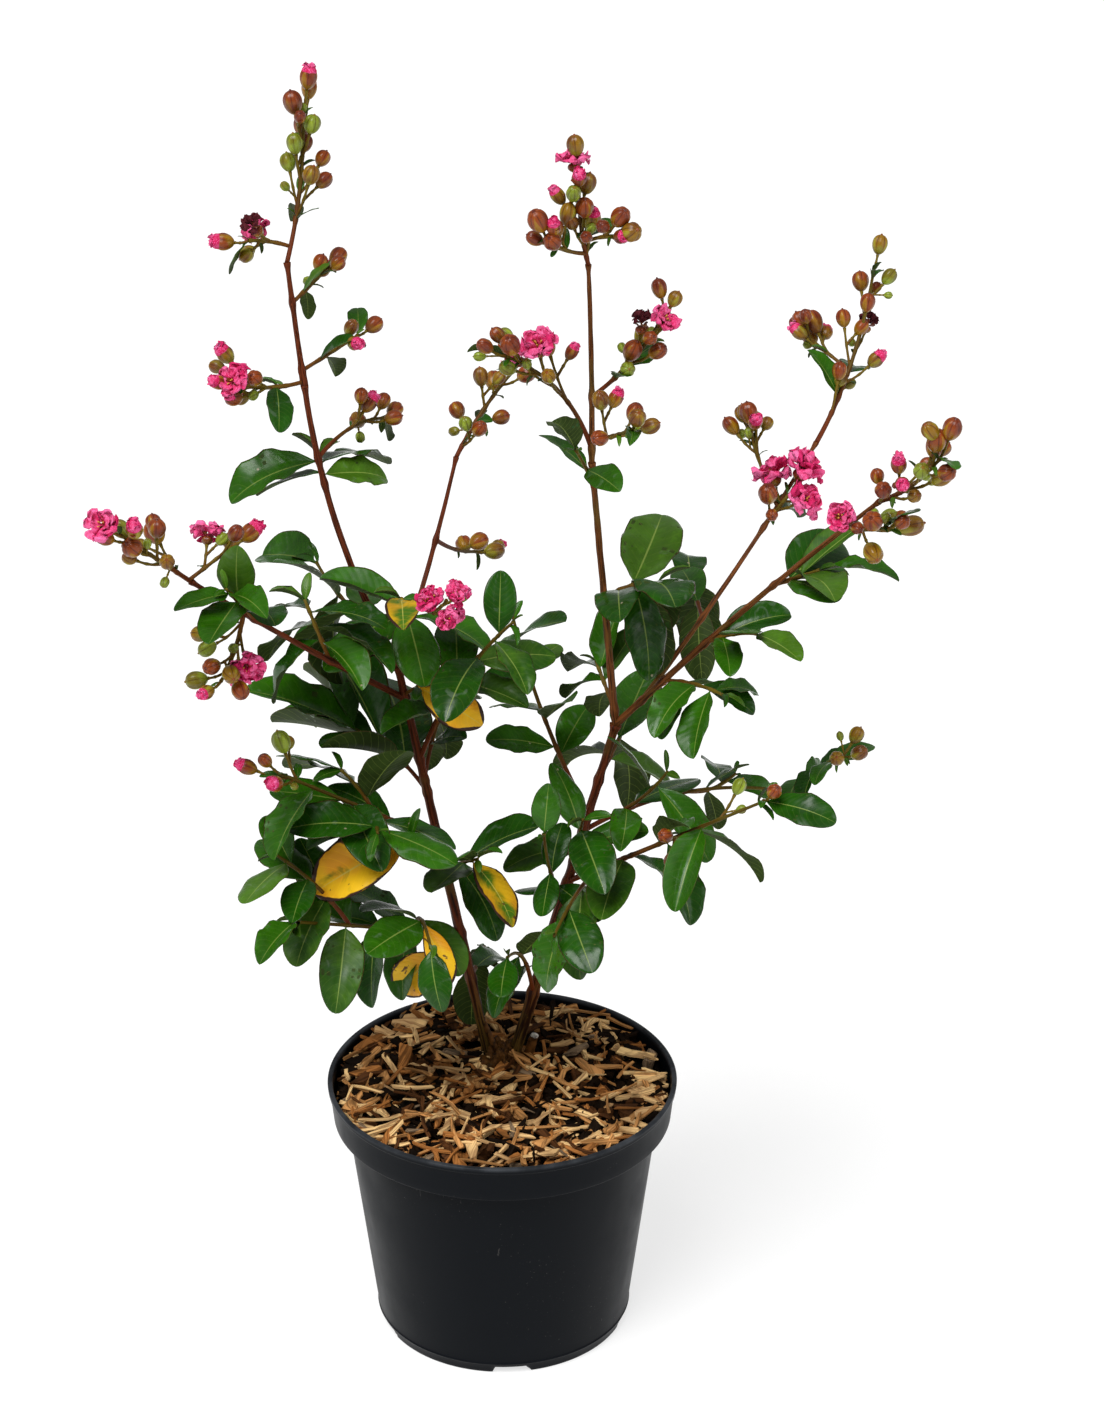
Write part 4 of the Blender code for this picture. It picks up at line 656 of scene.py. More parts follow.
class Skins:
    """Closed skins of one kind, gathered into one mesh.

    A skin is a stack of rings whose columns run round it, with a point that closes it at foot and tip.
    """

    def __init__(self):
        self.points, self.quads, self.tris = [], [], []
        self.quad_places, self.tri_places = [], []
        self.quad_finish, self.tri_finish = [], []
        self.count = 0

    def add(self, rings, foot=None, tip=None, along=None, finish=0):
        """Adds rings (skins, rows, columns, 3). A corner's UV place is (along, column / columns).

        foot and tip (skins, 3) are the middles of the end rings unless given. finish numbers the material,
        as one number, one for each skin, or one for each skin and column.
        """
        skins, rows, columns, _ = rings.shape
        foot = rings[:, 0].mean(1) if foot is None else foot
        tip = rings[:, -1].mean(1) if tip is None else tip
        along = np.linspace(0.0, 1.0, rows) if along is None else along
        finish = np.asarray(finish)
        finish = np.broadcast_to(finish if finish.ndim == 2 else finish.reshape(-1, 1), (skins, columns))
        row, column = (v.ravel() for v in np.meshgrid(np.arange(rows - 1), np.arange(columns), indexing="ij"))
        after = (column + 1) % columns
        corners = (row * columns + column, row * columns + after)
        corners += ((row + 1) * columns + after, (row + 1) * columns + column)
        quads = np.stack(corners, -1)
        places = (along[row], column), (along[row], column + 1)
        places += (along[row + 1], column + 1), (along[row + 1], column)
        quad_places = np.array(places, float).transpose(2, 0, 1) / (1.0, columns)
        end = np.arange(columns)
        after = (end + 1) % columns
        last = (rows - 1) * columns
        low = np.stack([after, end, np.full(columns, rows * columns)], -1)
        high = np.stack([last + end, last + after, np.full(columns, rows * columns + 1)], -1)
        low_places = np.stack([end + 1, end, end + 0.5], -1) / columns
        high_places = np.stack([end, end + 1, end + 0.5], -1) / columns
        tri_along = np.repeat([along[0], along[-1]], columns)[:, None] * np.ones(3)
        tri_places = np.stack([tri_along, np.concatenate([low_places, high_places])], -1)
        each = rows * columns + 2
        start = self.count + each * np.arange(skins)[:, None, None]
        flat = rings.reshape(skins, rows * columns, 3)
        self.points.append(np.concatenate([flat, foot[:, None], tip[:, None]], 1).reshape(-1, 3))
        self.quads.append((quads + start).reshape(-1, 4))
        self.tris.append((np.concatenate([low, high]) + start).reshape(-1, 3))
        self.quad_places.append(np.tile(quad_places.reshape(-1, 2), (skins, 1)))
        self.tri_places.append(np.tile(tri_places.reshape(-1, 2), (skins, 1)))
        self.quad_finish.append(finish[:, column].ravel())
        self.tri_finish.append(np.concatenate([finish, finish], 1).ravel())
        self.count += each * skins

    def made(self, name, slot, nodes, finishes, smooth=True):
        """Makes the object that stands for those nodes, from what was gathered."""
        mesh = bpy.data.meshes.new(name)
        faces = np.concatenate(self.quads).tolist() + np.concatenate(self.tris).tolist()
        mesh.from_pydata(np.concatenate(self.points).tolist(), [], faces)
        places = np.concatenate(self.quad_places + self.tri_places)
        mesh.uv_layers.new(name="skin").data.foreach_set("uv", places.ravel())
        for finish in finishes:
            mesh.materials.append(finish)
        numbers = np.concatenate(self.quad_finish + self.tri_finish).astype(np.int32)
        mesh.polygons.foreach_set("material_index", numbers)
        if smooth:
            mesh.shade_smooth()
        else:
            mesh.shade_flat()
        piece = bpy.data.objects.new(name, mesh)
        bpy.context.scene.collection.objects.link(piece)
        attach(piece, "root")
        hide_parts(*nodes)


def stacked(rows, *names):
    """The named fields of a list of tuples, as arrays."""
    return [np.array([getattr(row, name) for row in rows], float) for name in names]


def unit_rows(ways):
    return ways / np.linalg.norm(ways, axis=-1, keepdims=True)


def square_to(ways, towards):
    """Directions square to ways that lean towards the others."""
    return unit_rows(towards - ways * (ways * towards).sum(-1, keepdims=True))


def ripples(places, size, seed, terms=14):
    """Smooth noise of about -1 to 1: a sum of sines along scattered directions, with waves size long."""
    rng = np.random.default_rng(seed)
    ways = rng.normal(size=(3, terms)) * math.tau / size
    return np.sin(places @ ways + rng.uniform(0.0, math.tau, terms)).sum(-1) / math.sqrt(2.0 * terms)


def ease(x, low, high):
    """0 below low and 1 above high, with a smooth step between them."""
    t = np.clip((x - low) / (high - low), 0.0, 1.0)
    return t * t * (3.0 - 2.0 * t)


def tube_rings(paths, radii, columns):
    """Rings square to each path (tubes, rows, 3), at radii (tubes, rows) or (tubes, rows, columns).

    Each ring's first column points the same way, square to the path's run from foot to tip.
    """
    run = unit_rows(np.gradient(paths, axis=1))
    start = np.array([around(unit(path[-1] - path[0]), 0.0) for path in paths])[:, None]
    side = square_to(run, np.broadcast_to(start, run.shape))
    over = np.cross(run, side)
    a = math.tau * np.arange(columns)[:, None] / columns
    radii = radii[..., None] if radii.ndim == 2 else radii
    out = side[:, :, None] * np.cos(a) + over[:, :, None] * np.sin(a)
    return paths[:, :, None] + out * radii[..., None]


def refined(points, count):
    """A line through the points, by a cubic of each coordinate over evenly spaced shares."""
    t = np.linspace(0.0, 1.0, len(points))
    degree = min(3, len(points) - 1)
    fine = np.linspace(0.0, 1.0, count)
    return np.stack([np.polyval(np.polyfit(t, axis, degree), fine) for axis in points.T], -1)


def rounded(profile, radius, steps=4, longest=0.006):
    """A profile with each corner replaced by an arc-like curve, and long runs split into short ones."""
    points = np.array(profile, float)
    line = [points[0]]
    for before, corner, after in zip(points, points[1:], points[2:]):
        back, on = before - corner, after - corner
        cut = min(radius, 0.45 * math.hypot(*back), 0.45 * math.hypot(*on))
        low, high = corner + cut * back / math.hypot(*back), corner + cut * on / math.hypot(*on)
        for t in np.linspace(0.0, 1.0, steps + 1):
            line.append((1.0 - t) ** 2 * low + 2.0 * t * (1.0 - t) * corner + t * t * high)
    line.append(points[-1])
    fine = []
    for a, b in zip(line, line[1:]):
        parts = max(1, math.ceil(math.dist(a, b) / longest))
        fine += [a + (b - a) * i / parts for i in range(parts)]
    return np.array(fine + [line[-1]])


def turned_rings(profile, columns):
    """One skin turned about the Z axis from (radius, height) points, from underside round to inside."""
    a = math.tau * np.arange(columns) / columns
    r, z = profile[:, :1], profile[:, 1:]
    return np.stack([r * np.cos(a), r * np.sin(a), z + 0.0 * a], -1)[None]


# The pot and its filling


def body_radius(z):
    """The outer radius of the wall below the band."""
    top = RIM_RADIUS - 0.0037 - BAND_OVERHANG
    return BASE_RADIUS + (top - BASE_RADIUS) * z / (POT_HEIGHT - BAND_HEIGHT)


def wall_inside(z):
    """The pot's inner radius at a height."""
    if z > POT_HEIGHT - BAND_HEIGHT + WALL:
        return RIM_RADIUS - 0.0022 - WALL
    return body_radius(z) - WALL


def pot_rings(lip, columns=240):
    """The wall, turned from its rounded profile, with its lower edge lifted at each foot notch."""
    band = POT_HEIGHT - BAND_HEIGHT
    profile = [
        (0.001, 0.0022),
        (BASE_RADIUS - 0.020, 0.0022),
        (BASE_RADIUS - 0.0185, 0.0),
        (BASE_RADIUS - 0.0012, 0.0),
        (BASE_RADIUS, 0.0042),
        (body_radius(RING_HEIGHT) + 0.0001, RING_HEIGHT - 0.0009),
        (body_radius(RING_HEIGHT) + 0.0007, RING_HEIGHT),
        (body_radius(RING_HEIGHT) + 0.0001, RING_HEIGHT + 0.0009),
        (body_radius(band), band),
        (RIM_RADIUS - 0.0037, band + 0.0006),
        (RIM_RADIUS - 0.0015, POT_HEIGHT - 1.15 * lip),
        (RIM_RADIUS - 0.0004, POT_HEIGHT - 0.95 * lip),
        (RIM_RADIUS, POT_HEIGHT - 0.1 * lip),
        (RIM_RADIUS - 0.0012, POT_HEIGHT),
        (RIM_RADIUS - 0.0032, POT_HEIGHT),
        (wall_inside(POT_HEIGHT), POT_HEIGHT - lip),
        (wall_inside(POT_HEIGHT), band + WALL),
        (wall_inside(band) - 0.0002, band + WALL),
        (wall_inside(0.006), 0.0055),
        (wall_inside(0.006) - 0.003, 0.0042),
        (0.001, 0.0042),
    ]
    rings = turned_rings(rounded(profile, 0.0012), columns)
    x, y, z = (rings[..., k] for k in range(3))
    outer = np.arange(rings.shape[1]) < np.argmax(rings[0, :, 0, 2] > 0.02)
    turn = np.arctan2(y, x) - math.radians(NOTCH_TURN)
    apart = np.abs((turn * NOTCHES / math.tau + 0.5) % 1.0 - 0.5) * math.tau / NOTCHES * BASE_RADIUS
    lift = 1.0 - ease(apart, 0.5 * NOTCH_WIDTH - 0.0011, 0.5 * NOTCH_WIDTH + 0.0011)
    near = outer[None, :, None] & (np.hypot(x, y) > BASE_RADIUS - 0.0195)
    rings[..., 2] = np.where(near, np.maximum(z, NOTCH_HEIGHT * lift), z)
    return rings


def heap(x, y):
    """The height of the mulch: a low heap with humps a few centimetres wide, banked up towards the back."""
    away = np.hypot(x, y - 0.5 * CROWN_PLACE[1]) / RIM_RADIUS
    level = np.stack([x, y, 0.0 * x], -1)
    humps = ripples(level, 0.085, 4) + 0.5 * ripples(level, 0.03, 5)
    bank = 0.0045 * ease(y, -0.03, 0.10) + 0.0015 * ease(np.abs(x), 0.04, 0.10)
    return POT_HEIGHT - MULCH_DROP + MULCH_HEAP * np.clip(1.0 - away**2, 0.0, 1.0) + bank + 0.0012 * humps


def soil_rings(columns=144):
    """The potting mix: a turned block inside the wall, its top raised to lumps a few millimetres wide."""
    edge = POT_HEIGHT - MULCH_DROP - 0.006
    band = POT_HEIGHT - BAND_HEIGHT
    rim = wall_inside(POT_HEIGHT) - 0.0006
    wall = [(0.001, 0.0046), (wall_inside(0.008) - 0.004, 0.0046), (wall_inside(band) - 0.0008, band + 0.001)]
    wall += [(rim, band + WALL + 0.0008), (rim, edge)]
    top = np.linspace(wall[-1][0] - 0.001, 0.001, 44)
    rings = turned_rings(np.array(wall + [(r, edge) for r in top]), columns)
    flat = rings[0, len(wall):]
    crumbs = ripples(flat, 0.009, 1) + 0.7 * ripples(flat, 0.004, 2)
    flat[..., 2] = heap(flat[..., 0], flat[..., 1]) - 0.0052 + 0.0011 * crumbs
    return rings


def chip_rings(kind, count, size, rng):
    """Chips of a kind, each a bevelled oblong carried along its run.

    The width tapers evenly along the run and the thickness across it, both ends are cut at a slant and a
    little ragged, and the run bows sideways by its square, twists evenly and bends up along an arc. The
    chip is turned by three angles and laid at its height over the heap. One that would meet the wall or
    the crown is moved off it.
    """
    long, wide, thick, bend, tilt, low, high = kind
    shape = rng.uniform(-1.0, 1.0, (12, count, 1, 1))
    length = size * long * (0.7 + 0.6 * rng.random((count, 1, 1)) ** 1.5)
    width = size * wide * (1.0 + 0.35 * shape[0])
    depth = size * thick * (1.0 + 0.35 * shape[1])
    s = CHIP_ALONG[:, None]
    end = np.abs(s) > 0.4
    across = CHIP_ACROSS * np.where(np.abs(s) > 0.49, 0.88, 1.0) * (1.0 + 1.1 * shape[2] * s)
    above = CHIP_ABOVE * np.where(np.abs(s) > 0.49, 0.70, 1.0) * (1.0 + 0.45 * shape[3] * CHIP_ACROSS)
    ragged = rng.uniform(-1.0, 1.0, (count, len(CHIP_ALONG), 8))
    slant = np.where(s < 0.0, 0.9 * shape[4], 0.9 * shape[5]) * np.where(end, 1.0, 0.0)
    x = s * length + 0.5 * width * (slant * CHIP_ACROSS + 0.30 * ragged * end)
    y = 0.5 * width * (across + 0.07 * ragged) + 0.35 * shape[6] * s**2 * length
    z = 0.5 * depth * (above + 0.10 * ragged)
    twist = 0.9 * shape[7] * s
    y, z = y * np.cos(twist) - z * np.sin(twist), y * np.sin(twist) + z * np.cos(twist)
    curl = bend * shape[8] + 1e-3
    angle = curl * x / length
    lever = length / curl - z
    places = np.stack([lever * np.sin(angle), y, length / curl - lever * np.cos(angle)], -1)
    heading = math.tau * rng.random(count)
    leans = shape[9:11, :, 0, 0]
    pitch, roll = tilt * leans[0] * np.abs(leans[0]), 1.5 * tilt * leans[1] * np.abs(leans[1])
    run = np.stack([np.cos(heading) * np.cos(pitch), np.sin(heading) * np.cos(pitch), np.sin(pitch)], -1)
    level = np.stack([-np.sin(heading), np.cos(heading), 0.0 * heading], -1)
    side = level * np.cos(roll)[:, None] + np.cross(run, level) * np.sin(roll)[:, None]
    axes = np.stack([run, side, np.cross(run, side)], 1)
    places = np.einsum("nrck,nkd->nrcd", places, axes)
    r = (wall_inside(POT_HEIGHT) - 0.002) * np.sqrt(rng.random(count))
    turn = math.tau * rng.random(count)
    spot = np.stack([r * np.cos(turn), r * np.sin(turn)], -1)
    reach = np.linalg.norm(places[..., :2] + spot[:, None, None], axis=-1).max((1, 2))
    over = np.maximum(reach - (wall_inside(POT_HEIGHT) - 0.0012), 0.0)
    spot -= spot / np.maximum(r, 1e-6)[:, None] * over[:, None]
    away = spot - (CROWN_PLACE[0], CROWN_PLACE[1] - CROWN_SHIFT)
    near = np.linalg.norm(away, axis=1)
    short = np.maximum(1.15 * CROWN_RADIUS + 0.35 * width[:, 0, 0] - near, 0.0)
    spot += away / near[:, None] * short[:, None]
    rise = heap(spot[:, 0], spot[:, 1]) + low + (high - low) * rng.random(count)
    return places + np.concatenate([spot, rise[:, None]], 1)[:, None, None]


# Wood


def limb_rings(limb, path, knots, relief, columns=28):
    """A limb's bark along its path.

    The radius tapers evenly, and a stem is a little slimmer near the ground and flares where it meets it.
    A cosine of four waves round it squares it off, slow sines wind ridges along it, and a bell-shaped
    swelling stands at each knot's share of its length.
    """
    rows = max(12, int(limb.length / 2.0))
    line = refined(path, rows)
    t = np.linspace(0.0, 1.0, rows)
    line[0] -= 0.002 * unit(line[1] - line[0])
    radius = (limb.foot + (limb.tip - limb.foot) * t) * MM
    if not limb.on:
        radius = radius * (0.86 + 0.14 * ease(t, 0.0, 0.3) + 0.25 * (1.0 - ease(t, 0.0, 0.035)))
    for share in knots:
        radius = radius + 0.0007 * np.exp(-(((t - share) * limb.length / 3.2) ** 2))
    a = math.tau * np.arange(columns)[None] / columns
    run = t[:, None] * limb.length * MM
    seed = len(limb.name) + int(limb.length)
    winding = np.stack(np.broadcast_arrays(0.012 * np.cos(a), 0.012 * np.sin(a), 0.30 * run), -1)
    ridges = ripples(winding, 0.016, seed) + 0.6 * ripples(winding, 0.008, seed + 1)
    lumps = ripples(winding * (1.0, 1.0, 3.0), 0.03, seed + 2)
    square = 0.045 * np.cos(4.0 * a + 6.0 * run)
    furrows = relief * (1.0 + (0.0 if limb.on else 1.6) * (1.0 - ease(t, 0.05, 0.4)))[:, None]
    radii = radius[:, None] * (1.0 + square + furrows * ridges + 0.05 * lumps)
    return tube_rings(line[None], radii[None], columns)


def crown_rings(columns=64, rows=48):
    """The knobby crown: a dome whose radius swells and shrinks by noise a centimetre or so wide."""
    t = np.linspace(0.0, 1.0, rows)[:, None]
    a = math.tau * np.arange(columns)[None] / columns
    lift = 0.5 * math.pi * t
    out = np.stack([np.cos(a) * np.cos(lift), 0.85 * np.sin(a) * np.cos(lift), np.sin(lift) + 0.0 * a], -1)
    lumps = 1.0 + 0.20 * ripples(out, 1.5, 11) + 0.15 * ripples(out, 0.6, 12) + 0.06 * ripples(out, 0.22, 13)
    places = out * lumps[..., None] * (1.10 * CROWN_RADIUS, 1.45 * CROWN_RADIUS, 0.0185)
    places[..., 0] += CROWN_PLACE[0]
    places[..., 1] += CROWN_PLACE[1] - CROWN_SHIFT
    places[..., 2] += GROUND - 0.007
    places[0, :, 2] -= 0.012
    return places[None]


def stub_rings(foot, tip, low, high, seed, columns=20, rows=22):
    """A short cut-off stem with lumpy bark and a flat end."""
    t = np.linspace(0.0, 1.0, rows)[:, None]
    path = np.array(foot) + t * (np.array(tip) - np.array(foot))
    rings = tube_rings(path[None], (low + (high - low) * t[:, 0])[None], columns)
    lumps = ripples(rings, 0.006, seed)[..., None]
    return path[None, :, None] + (rings - path[None, :, None]) * (1.0 + 0.10 * lumps)


def shoot_rings(shoot, path, nodes, columns=10):
    """A leafy shoot: a slender cone with a slight swelling at the share of each leaf's root."""
    rows = max(8, int(shoot.length / 2.5))
    t = np.linspace(0.0, 1.0, rows)
    foot = 1.15 + 0.0042 * shoot.length
    radius = (foot + (0.92 - foot) * t) * MM
    for share in nodes:
        radius = radius + 0.00035 * np.exp(-(((t - share) * shoot.length / 1.8) ** 2))
    return tube_rings(refined(path, rows)[None], radius[None], columns)


def stalk_rings(buds, rows=9, columns=8):
    """The stalks of buds and flowers: thin tubes with a joint two thirds of the way along."""
    paths = np.array([refined(bud.twig, rows) for bud in buds])
    t = np.linspace(0.0, 1.0, rows)
    foot = np.array([0.00068 if bud.kind == "green" else 0.00098 for bud in buds])[:, None]
    radii = foot * (1.0 - 0.28 * t + 0.30 * np.exp(-(((t - 0.64) / 0.06) ** 2)) + 0.55 * ease(t, 0.85, 1.0))
    return tube_rings(paths, radii, columns)


# Leaves, buds and flowers


def leaf_rings(leaves, thickness, seed, rows=19, columns=16):
    """(rings, foot, tip, along) of leaf blades.

    A station's half-width follows a sine of its share of the length, drawn in to a stalk and to a pointed
    tip. The midrib is an arc that bends down. It sweeps aside by the square of the share and curls at its
    tip by the fourth power, and the blade twists evenly along it. The blade rises to both sides by the
    fold, dips towards the edge by a cube, and ripples along it by a sine whose height grows with the
    square of the distance from the midrib.
    """
    rng = np.random.default_rng(seed)
    root, ahead, face = (v[:, None, None] for v in stacked(leaves, "root", "ahead", "face"))
    length, width, bend, fold = (v[:, None, None] for v in stacked(leaves, "length", "width", "bend", "fold"))
    draw = rng.uniform(-1.0, 1.0, (10, len(leaves), 1, 1))
    t = np.linspace(0.0, 1.0, rows)
    along = 0.994 * (0.2 * t + 0.8 * (0.5 - 0.5 * np.cos(np.pi * t)))
    s = np.append(along, 1.0)[None, :, None]
    a = math.tau * np.arange(columns) / columns
    c, above = np.cos(a), np.sin(a)
    x = np.clip((s - 0.05) / 0.95, 0.0, 1.0)
    half = np.sin(np.pi * x ** (1.12 + 0.16 * draw[0])).clip(0.0, 1.0) ** (0.48 + 0.05 * draw[1])
    half = half * (1.0 - 0.06 * ease(x, 0.85, 1.0)) * (1.0 - 0.35 * (1.0 - ease(x, 0.0, 0.22)))
    half = np.maximum(0.5 * width * half, 0.00055 * (length / 0.05) ** 0.5 * (1.0 - 0.8 * x))
    arc = bend * s
    fold = fold * (1.3 + 0.8 * draw[4])
    sweep = 0.07 * draw[2] * s**2
    curl = (0.06 + 0.07 * draw[9]) * s**4
    side = np.cross(face, ahead)
    midrib = ahead * (np.sin(arc) / bend)[..., None] - face * ((1.0 - np.cos(arc)) / bend)[..., None]
    midrib = root + length[..., None] * (midrib + side * sweep[..., None] - face * curl[..., None])
    up = ahead * np.sin(arc)[..., None] + face * np.cos(arc)[..., None]
    twist = (0.10 + 0.38 * draw[3]) * s
    out = side * np.cos(twist)[..., None] + up * np.sin(twist)[..., None]
    up = up * np.cos(twist)[..., None] - side * np.sin(twist)[..., None]
    reach = half * c
    rim = 0.12 * half
    raised = np.sin(fold) * (np.sqrt(reach**2 + rim**2) - rim)
    raised = raised - (0.10 + 0.22 * draw[5]) * half * np.abs(c) ** 3
    waves = np.sin(math.tau * (2.6 + 0.8 * draw[6]) * s + 3.0 * draw[7] + (2.0 + draw[8]) * (c < 0.0))
    raised = raised + (0.085 + 0.065 * draw[9]) * half * c**2 * waves * np.sin(np.pi * x)
    raised = raised + thickness * above * (1.0 + 1.6 * (1.0 - ease(x, 0.0, 0.12)))
    raised = raised - 0.000275 * width / 0.03 * (np.abs(c) < 0.01)
    places = midrib + out * (reach * np.cos(fold))[..., None] + up * raised[..., None]
    foot = (root - 0.0006 * ahead)[:, 0, 0]
    return places[:, :-1], foot, midrib[:, -1, 0], along


def bud_sizes(buds, seed):
    """(radius, height as a share of the usual one) of buds, few of which are fully grown."""
    rng = np.random.default_rng(seed)
    radius = stacked(buds, "radius")[0] * (0.74 + 0.26 * rng.random(len(buds)) ** 0.7)
    return radius, 1.0 + 0.24 * rng.random(len(buds))


def bud_rings(buds, radius, tall, rows=13, columns=24):
    """(rings, foot, tip) of buds.

    A bud is an egg turned about its stalk's run, a sine of the turn drawn in towards the stalk. Six lobes,
    a cosine without its sign round it, meet in creases that deepen towards the tip, where a small nipple
    stands in a dimple.
    """
    base = np.array([bud.twig[-1] for bud in buds])[:, None, None]
    ahead = stacked(buds, "ahead")[0]
    side = np.array([around(way, 0.0) for way in ahead])[:, None, None]
    over = np.cross(ahead[:, None, None], side)
    ahead = ahead[:, None, None]
    radius, tall = radius[:, None, None], tall[:, None, None]
    turn = np.append(np.linspace(0.28, 2.92, rows - 2), (3.0, 3.0))[None, :, None]
    rise = 0.5 - 0.5 * np.cos(turn)
    rise[:, -2:, 0] = 0.985, 1.045
    a = math.tau * np.arange(columns) / columns
    wide = np.sin(turn) ** 0.90 * (1.0 - 0.26 * (1.0 - rise) ** 2)
    wide[:, -2:, 0] = 0.17, 0.09
    crease = (1.0 - np.abs(np.cos(3.0 * a))) ** 2.0
    lobes = 1.0 - 0.13 * crease * np.sin(turn) * ease(rise, 0.15, 0.9)
    out = (side * np.cos(a)[:, None] + over * np.sin(a)[:, None]) * (radius * wide * lobes)[..., None]
    rings = base + ahead * (2.1 * tall * radius * rise)[..., None] + out
    return rings, base[:, 0, 0], (base + ahead * (2.25 * tall * radius)[..., None])[:, 0, 0]


def petal_rings(root, ahead, face, length, width, crinkle, seed, rows, columns):
    """(rings, foot, tip, along) of petals, each a thin closed sheet that widens from a stalk to a broad fan.

    The half-width follows a sine of a power of the share along. The sheet bends back. Pleats and slower
    waves, sines of the share across, lift its places off it and grow with the share along, and round
    lobes, a sine without its sign, scallop its far edge.
    """
    rng = np.random.default_rng(seed)
    root, ahead, face = (v[:, None, None] for v in (root, ahead, face))
    length, width = length[:, None, None], width[:, None, None]
    draw = rng.uniform(-1.0, 1.0, (12, len(root), 1, 1))
    along = np.append(np.linspace(0.02, 0.80, rows - 2), (0.91, 0.975))
    s = np.append(along, 1.0)[None, :, None]
    v = np.arange(columns) / columns
    c = np.abs(4.0 * v - 2.0) - 1.0
    above = np.where(np.abs(c) > 0.999, 0.0, np.where(v < 0.5, 1.0, -1.0))
    half = np.sin(np.pi * s**2.2).clip(0.0, 1.0) ** 0.36 * (0.14 + 0.86 * ease(s, 0.08, 0.60))
    teeth = np.abs(np.sin(math.pi * (2.8 + 0.4 * draw[0]) * c + 3.0 * draw[1])) ** 0.6 - 0.7
    bend = 0.65 + 0.6 * draw[3]
    arc = bend * s
    side = np.cross(face, ahead)
    midrib = ahead * (np.sin(arc) / bend)[..., None] - face * ((1.0 - np.cos(arc)) / bend)[..., None]
    up = ahead * np.sin(arc)[..., None] + face * np.cos(arc)[..., None]
    on = ahead * np.cos(arc)[..., None] - face * np.sin(arc)[..., None]
    waves = np.sin(math.tau * (0.55 + 0.15 * draw[4]) * c + 3.0 * draw[5])
    waves = waves + 0.8 * s * np.sin(math.tau * (1.35 + 0.2 * draw[6]) * c + 3.0 * draw[7])
    waves = waves + 0.6 * s**2 * np.sin(math.tau * (2.5 * c + 0.6 * s) + 3.0 * draw[8])
    waves = waves + 0.6 * np.sin(math.tau * (1.6 * s + 0.7 * c) + 3.0 * draw[9])
    edge = 0.05 * np.sin(math.tau * 3.3 * s + 3.0 * draw[10] + 2.0 * (c > 0.0)) * np.abs(c) ** 3
    across = 0.5 * width * half * (c + edge * np.sign(c))
    places = root + length[..., None] * midrib + side * across[..., None]
    places = places + up * (crinkle * width * ease(s, 0.1, 0.9) * waves + 0.00016 * above)[..., None]
    places = places + on * (0.15 * length * teeth * ease(s, 0.55, 1.0))[..., None]
    return places[:, :-1], root[:, 0, 0], places[:, -1].mean(1), along


def petals_of(flowers, count, leans, reach, spread, seed, lift):
    """(root, ahead, face, length, width) of petals set round each flower's axis at the golden angle."""
    rng = np.random.default_rng(seed)
    found = []
    for flower in flowers:
        start = 360.0 * rng.random()
        for i in range(count):
            j = rng.uniform(-1.0, 1.0, 5)
            lean = math.radians(leans[0] + (leans[1] - leans[0]) * (i + 0.5) / count + 12.0 * j[0])
            outward = around(flower.ahead, start + GOLDEN_TURN * i + 14.0 * j[1])
            way = flower.ahead * math.cos(lean) + outward * math.sin(lean)
            face = flower.ahead * math.sin(lean) - outward * math.cos(lean)
            root = flower.twig[-1] + flower.radius * (lift * flower.ahead + 0.10 * outward)
            length = flower.radius * reach * (1.0 + 0.2 * j[2])
            width = flower.radius * spread * (1.0 + 0.16 * j[3])
            found.append((root, way, face, length, width))
    return [np.array(column) for column in zip(*found)]


def stamen_rings(flowers, count, seed, rows=7, columns=6):
    """Stamens: thin stalks that curve out of a flower's middle, each with a small yellow head."""
    rng = np.random.default_rng(seed)
    paths, radii = [], []
    t = np.linspace(0.0, 1.0, rows)
    for flower in flowers:
        for i in range(count):
            lean = 0.15 + 0.65 * rng.random()
            outward = around(flower.ahead, GOLDEN_TURN * i + 30.0 * rng.random())
            length = flower.radius * (0.40 + 0.25 * rng.random())
            ahead = 0.55 * flower.radius + length * t
            out = length * lean * t**1.6
            paths.append(flower.twig[-1] + flower.ahead * ahead[:, None] + outward * out[:, None])
            radii.append(np.where(t > 0.9, 0.00042, np.where(t > 0.8, 0.00048, 0.00016)))
    return tube_rings(np.array(paths), np.array(radii), columns)


# Materials


